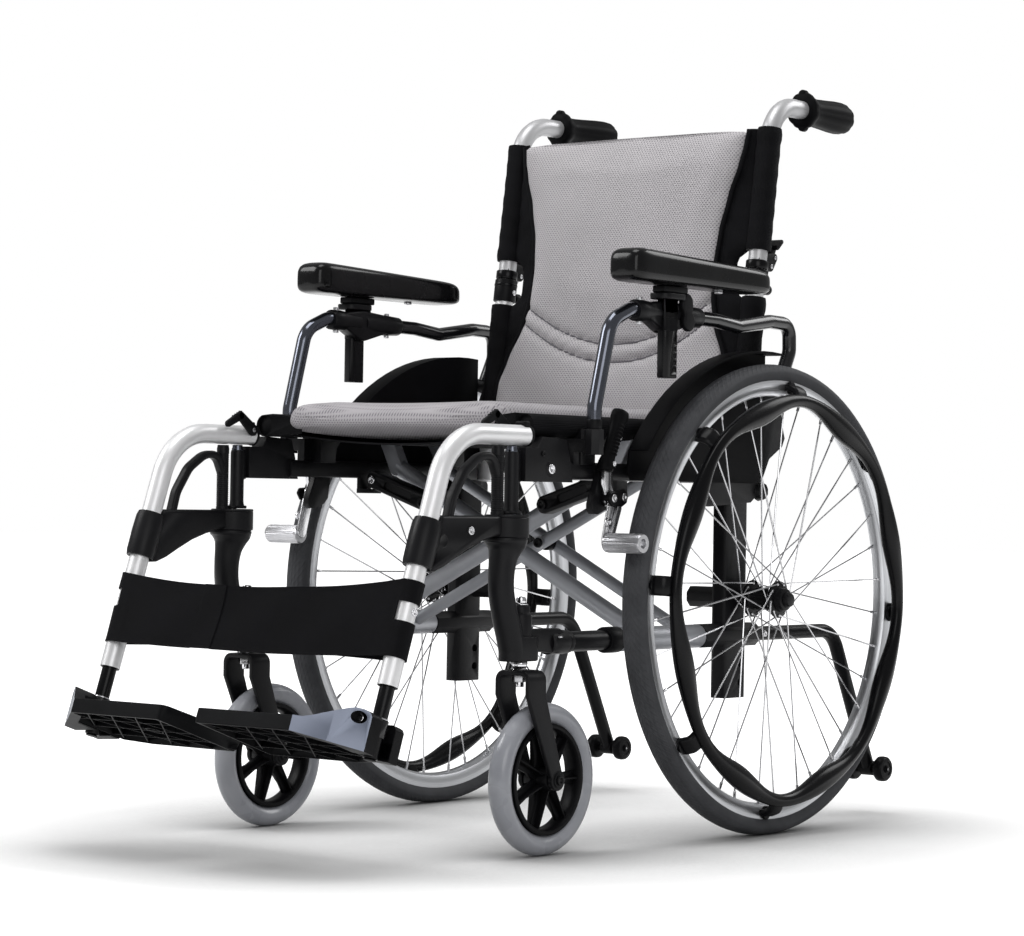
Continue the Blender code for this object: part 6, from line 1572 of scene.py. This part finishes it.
def back_covers():
    columns, rows = 46, 56
    body = []
    for j in range(rows + 1):
        z = COVER_LOW + (COVER_TOP - COVER_LOW) * j / rows
        half = cover_half(z)
        foot = min(1.0, (z - COVER_LOW) / 0.020)
        roll = swell((COVER_TOP - z) / 0.010) * (0.5 + 0.5 * foot)
        front, back = [], []
        for i in range(columns + 1):
            s = -1 + 2 * i / columns
            x = half * s
            crown = swell((1 - abs(s)) * half / 0.022) * (0.25 + 0.75 * roll)
            dip = 0.0
            for low in (True, False):
                dip = max(dip, exp(-((z - lumbar(x, low)) / 0.0042) ** 2))
            y = cover_front(x, z)
            front.append((x, y - 0.0105 * crown * (1 - 0.62 * dip), z))
            back.append((x, y + 0.0030 * crown, z))
        body.append((front, back))
    pad = pillow(body, BACK_MESH)
    held = []
    for v in pad.data.vertices:
        x, y, z = v.co
        near = min(abs(z - lumbar(x, True)), abs(z - lumbar(x, False)))
        rear = y > cover_front(x, z)
        if abs(x) > cover_half(z) - 0.004 or z > COVER_TOP - 0.004 or z < COVER_LOW + 0.004 or near < 0.0038 or rear:
            held.append(v.index)
    puffed(pad, held, 0.006)
    rounder(pad, 1)
    for v in pad.data.vertices:
        x, y, z = v.co
        if y < cover_front(x, z) - 0.001:
            for low in (True, False):
                v.co.y += 0.0034 * exp(-((z - lumbar(x, low)) / 0.0020) ** 2)
            crease = 0.0009 * exp(-((x + 0.071) / 0.004) ** 2) + 0.0009 * exp(-((x - 0.026) / 0.004) ** 2)
            if z < 0.612:
                v.co.y += crease * min(1.0, (0.612 - z) / 0.02)
    paint_where(pad, NYLON, lambda spot: spot.y > cover_front(spot.x, spot.z) + 0.0008)
    shade(pad, 60)

    parts = [pad]
    # A thin dark cord along each lumbar channel: painted shade in the seam's crease.
    for low in (True, False):
        line = []
        for i in range(49):
            x = -1 + 2 * i / 48
            reach = cover_half(lumbar(0.15, low)) - 0.010
            z = lumbar(x * reach, low)
            found, place = pad.ray_cast(Vector((x * reach, cover_front(0, z) - 0.2, z)), Vector(ALONG))[:2]
            if found:
                line.append(Vector((place.x, place.y + 0.0001, place.z)))
        line = line[:1] + [(a + b * 2 + c) / 4 for a, b, c in zip(line, line[1:], line[2:])] + line[-1:]
        parts.append(pipe(line, 0.0012, SEAM_SHADE, None, 3))
    for side in (-1, 1):
        edge = []
        for i in range(61):
            z = COVER_LOW + 0.003 + (COVER_TOP - COVER_LOW - 0.006) * i / 60
            x = side * (cover_half(z) - 0.0005)
            edge.append((x, cover_front(x, z) - 0.0012, z))
        parts.append(pipe(edge, 0.0034, NYLON, None, 4))
        for low, high in ((COVER_LOW, COVER_JOIN), (COVER_JOIN, COVER_TOP)):
            rings = []
            for j in range(29):
                z = low + (high - low) * j / 28
                inner = cover_half(z) - 0.006
                outer = POST_X - 0.0100
                if COVER_GAP[0] < z < COVER_GAP[1]:
                    outer -= 0.022 * swell(min(z - COVER_GAP[0], COVER_GAP[1] - z) / 0.016)
                run = []
                for i in range(9):
                    x = inner + (outer - inner) * i / 8
                    tuck = 0.0008 * sin(7 * z * 30 + i * 0.8) * (i / 8) * (1 - i / 8) * 4
                    base = cover_front(x, z) + (lean_y(z) - cover_front(x, z) - 0.002) * (i / 8) ** 1.6
                    run.append((side * x, base + tuck, z))
                rings.append(run + [(p[0], p[1] + 0.0026, p[2]) for p in run[::-1]])
            parts.append(lofted(rings, NYLON, angle=60))
        for low, high in ((COVER_LOW, COVER_GAP[0]), (COVER_GAP[1], COVER_TOP)):
            route = [along_back(low + (high - low) * i / 24, side * POST_X) for i in range(25)]
            sizes = []
            for i in range(25):
                hem = 0.0006 if i in (1, 2, 22, 23) else 0.0
                sizes.append(0.0163 + hem + 0.0004 * sin(i * 1.7 + side))
            wrap = pipe(route, 0.0165, NYLON, sizes, 7, angle=60)
            core = pipe([along_back(low - 0.02, side * POST_X), along_back(high + 0.02, side * POST_X)],
                        0.0133, NYLON, None, 7)
            parts.append(cut_away(wrap, core))
    halves = []
    for upper in (True, False):
        kept = []
        for part in parts:
            heights = [v.co.z for v in part.data.vertices]
            only_low, only_high = max(heights) < COVER_JOIN + 0.0005, min(heights) > COVER_JOIN - 0.0005
            if only_low and upper or only_high and not upper:
                continue
            half = copied(part)
            if not only_low and not only_high:
                work_on(half)
                bpy.ops.mesh.bisect(plane_co=(0, 0, COVER_JOIN), plane_no=UP, use_fill=True,
                                    clear_inner=upper, clear_outer=not upper)
                drop()
            kept.append(half)
        halves.append(shade(true_up(join(*kept), 0.000002), 60))
    for part in parts:
        bpy.data.objects.remove(part)
    for half, name, body in zip(halves, ("back_cover_upper", "back_cover_lower"), ("back_left", "left_side")):
        settle(half, name, body)
        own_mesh(half)


STRAP_CREASES = (-0.081, -0.0465)
STRAP_LOW_Z = 0.2455
STRAP_HIGH_Z = 0.3325


def calf_strap():
    inner = 0.0129
    half_turn = [pi * i / 14 for i in range(1, 14)]
    across = [SIDE_X - 2 * SIDE_X * i / 76 for i in range(77)]
    for crease in STRAP_CREASES:
        across += [crease - 0.0012, crease - 0.0003, crease + 0.0005, crease + 0.0014]
    across = sorted(across, reverse=True)
    loop = [(x, -1, 0.0) for x in across]
    loop += [(-SIDE_X - inner * sin(a), -cos(a), 1.0) for a in half_turn]
    loop += [(-x, 1, 0.0) for x in across]
    loop += [(SIDE_X + inner * sin(a), cos(a), 1.0) for a in half_turn]
    low = (STRAP_LOW_Z - FOOT_Z) / cos(HANGER_LEAN)
    high = (STRAP_HIGH_Z - FOOT_Z) / cos(HANGER_LEAN)
    levels = 26
    rings = []
    for j in range(levels + 1):
        t = j / levels
        ring = []
        for x, u, bend in loop:
            slack = max(0.0, 1 - abs((x + 0.02) / 0.246) ** 2.4)
            drop_by = slack * (0.0070 + 0.0115 * t)
            ripple = 0.0016 * sin(19 * x + 3.2 * t) * slack + 0.0009 * sin(47 * x - 5 * t) * slack
            hem = 0.0007 * (1 - min(1.0, min(t, 1 - t) / 0.045))
            proud = 0.0
            if bend == 0.0 and u < 0:
                proud = 0.0019 if STRAP_CREASES[0] < x < STRAP_CREASES[1] else 0.0
                proud += 0.0006 if abs(x) > 0.203 else 0.0
            reach = u * (inner + hem + proud) + ripple + 0.0035 * slack * (u if bend == 0.0 else 0.0)
            lift = slack * (0.013 - 0.007 * t) if bend == 0.0 and u > 0 else 0.0
            up = low + (high - low) * t - drop_by + lift
            ring.append(Vector((x, 0, 0)) + FOOT - TOEWARD * reach - TUBE_DOWN * up)
        rings.append(ring)
    strap = lofted(rings, STRAP, caps=False, angle=60)
    modified(strap, "SOLIDIFY", thickness=0.0017, offset=1)
    true_up(strap)
    notches = []
    for side in (-1, 1):
        ring = [(side * (SIDE_X - 0.002), 0.03), (side * (SIDE_X - 0.002), -0.03), (side * (SIDE_X + 0.03), -0.03),
                (side * (SIDE_X + 0.03), 0.03)]
        notches.append(lofted([[on_foot(x, u, n) for x, u in ring] for n in (0.1425, 0.1655)], STRAP))
    strap = cut_away(strap, *notches)
    shade(strap, 50)
    settle(strap, "calf_strap", "hanger_left")
    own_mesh(strap)


back_frame()
push_grips()
armrests()
wheel_locks()
anti_tippers()
braces()
seat_cover()
back_covers()
calf_strap()


# Studio

def studio():
    # A white floor and backdrop that carry the chair's soft shadow: cast by the lamps, and painted into the floor's
    # glow.
    finish, shader = fresh("studio_white", (0.46, 0.46, 0.46), 0.9)
    shader.inputs["Specular IOR Level"].default_value = 0.0
    drop()
    bpy.ops.mesh.primitive_plane_add(size=1, location=(0, 1.5, 0))
    floor = bpy.context.object
    floor.name = "studio_floor"
    floor.scale = (40, 40, 1)
    bpy.ops.object.transform_apply(location=True, rotation=True, scale=True)
    paint(floor, finish)
    # The camera sees the floor as white, with painted shadow: its glow is dimmed under the chair and, by ambient
    # occlusion, where its parts come near.
    path = wire(finish, "ShaderNodeLightPath").outputs
    seen = sums(finish, "MAXIMUM", sums(finish, "MAXIMUM", path["Is Camera Ray"], path["Is Glossy Ray"]),
                path["Is Transmission Ray"])
    away = wire(finish, "ShaderNodeVectorMath", at_operation="LENGTH", in0=coordinates(finish)).outputs["Value"]
    level = spread(finish, away, 0.58, 1.15, 0.55, 1.35)
    painted_shadow_openness = wire(finish, "ShaderNodeAmbientOcclusion", Distance=0.30).outputs["AO"]
    level = sums(finish, "MULTIPLY", level, sums(finish, "POWER", painted_shadow_openness, 4.0))
    glow = wire(finish, "ShaderNodeEmission", Color=(1, 1, 1, 1), Strength=sums(finish, "MULTIPLY", seen, level))
    both = wire(finish, "ShaderNodeAddShader", in0=shader.outputs[0], in1=glow.outputs[0])
    finish.node_tree.links.new(both.outputs[0], finish.node_tree.nodes["Material Output"].inputs["Surface"])

    # White to the camera, and dimmer as a light.
    world = bpy.data.worlds.new("studio")
    bpy.context.scene.world = world
    world.use_nodes = True
    sky = world.node_tree.nodes["Background"]
    sky.inputs["Color"].default_value = (1, 1, 1, 1)
    path = wire(world, "ShaderNodeLightPath").outputs
    seen = sums(world, "MAXIMUM", path["Is Camera Ray"], path["Is Transmission Ray"])
    world.node_tree.links.new(spread(world, seen, 0.34, 1.0, 0.0, 1.0), sky.inputs["Strength"])

    for name, place, size, power in (("key", (-2.6, -2.2, 2.9), 1.7, 74.0), ("fill", (3.0, -2.6, 1.8), 2.2, 38.0),
                                     ("rim", (1.2, 3.0, 2.6), 1.6, 40.0), ("top", (0.0, -0.2, 3.4), 1.6, 40.0)):
        drop()
        bpy.ops.object.light_add(type="AREA", location=place)
        lamp = bpy.context.object
        lamp.name = "lamp_" + name
        lamp.data.size = size
        lamp.data.energy = power
        aim = Vector((0, AXLE_Y - 0.2, 0.45)) - Vector(place)
        lamp.rotation_euler = aim.to_track_quat("-Z", "Y").to_euler()


def camera():
    # The photograph's own view, fitted to the wheels and tubes.
    turn, rise, roll = radians(38.7741), radians(-0.5443), radians(0.9527)
    back = Vector((sin(turn) * cos(rise), -cos(turn) * cos(rise), sin(rise)))
    aim = Vector((-0.0924, -0.0742 + AXLE_Y, 0.4715))
    across = (-back).cross(Vector(UP)).normalized()
    up = across.cross(-back)
    level_across = across * cos(roll) + up * sin(roll)
    level_up = up * cos(roll) - across * sin(roll)
    drop()
    bpy.ops.object.camera_add()
    eye = bpy.context.object
    eye.data.sensor_width = 36.0
    eye.data.lens = 3057.29 / 1024 * 36.0
    eye.data.clip_start = 0.05
    turned = Matrix((level_across, level_up, back)).transposed().to_4x4()
    eye.matrix_world = Matrix.Translation(aim + back * 4.1504) @ turned
    bpy.context.scene.camera = eye


studio()
camera()
bpy.context.scene.view_settings.view_transform = "Standard"
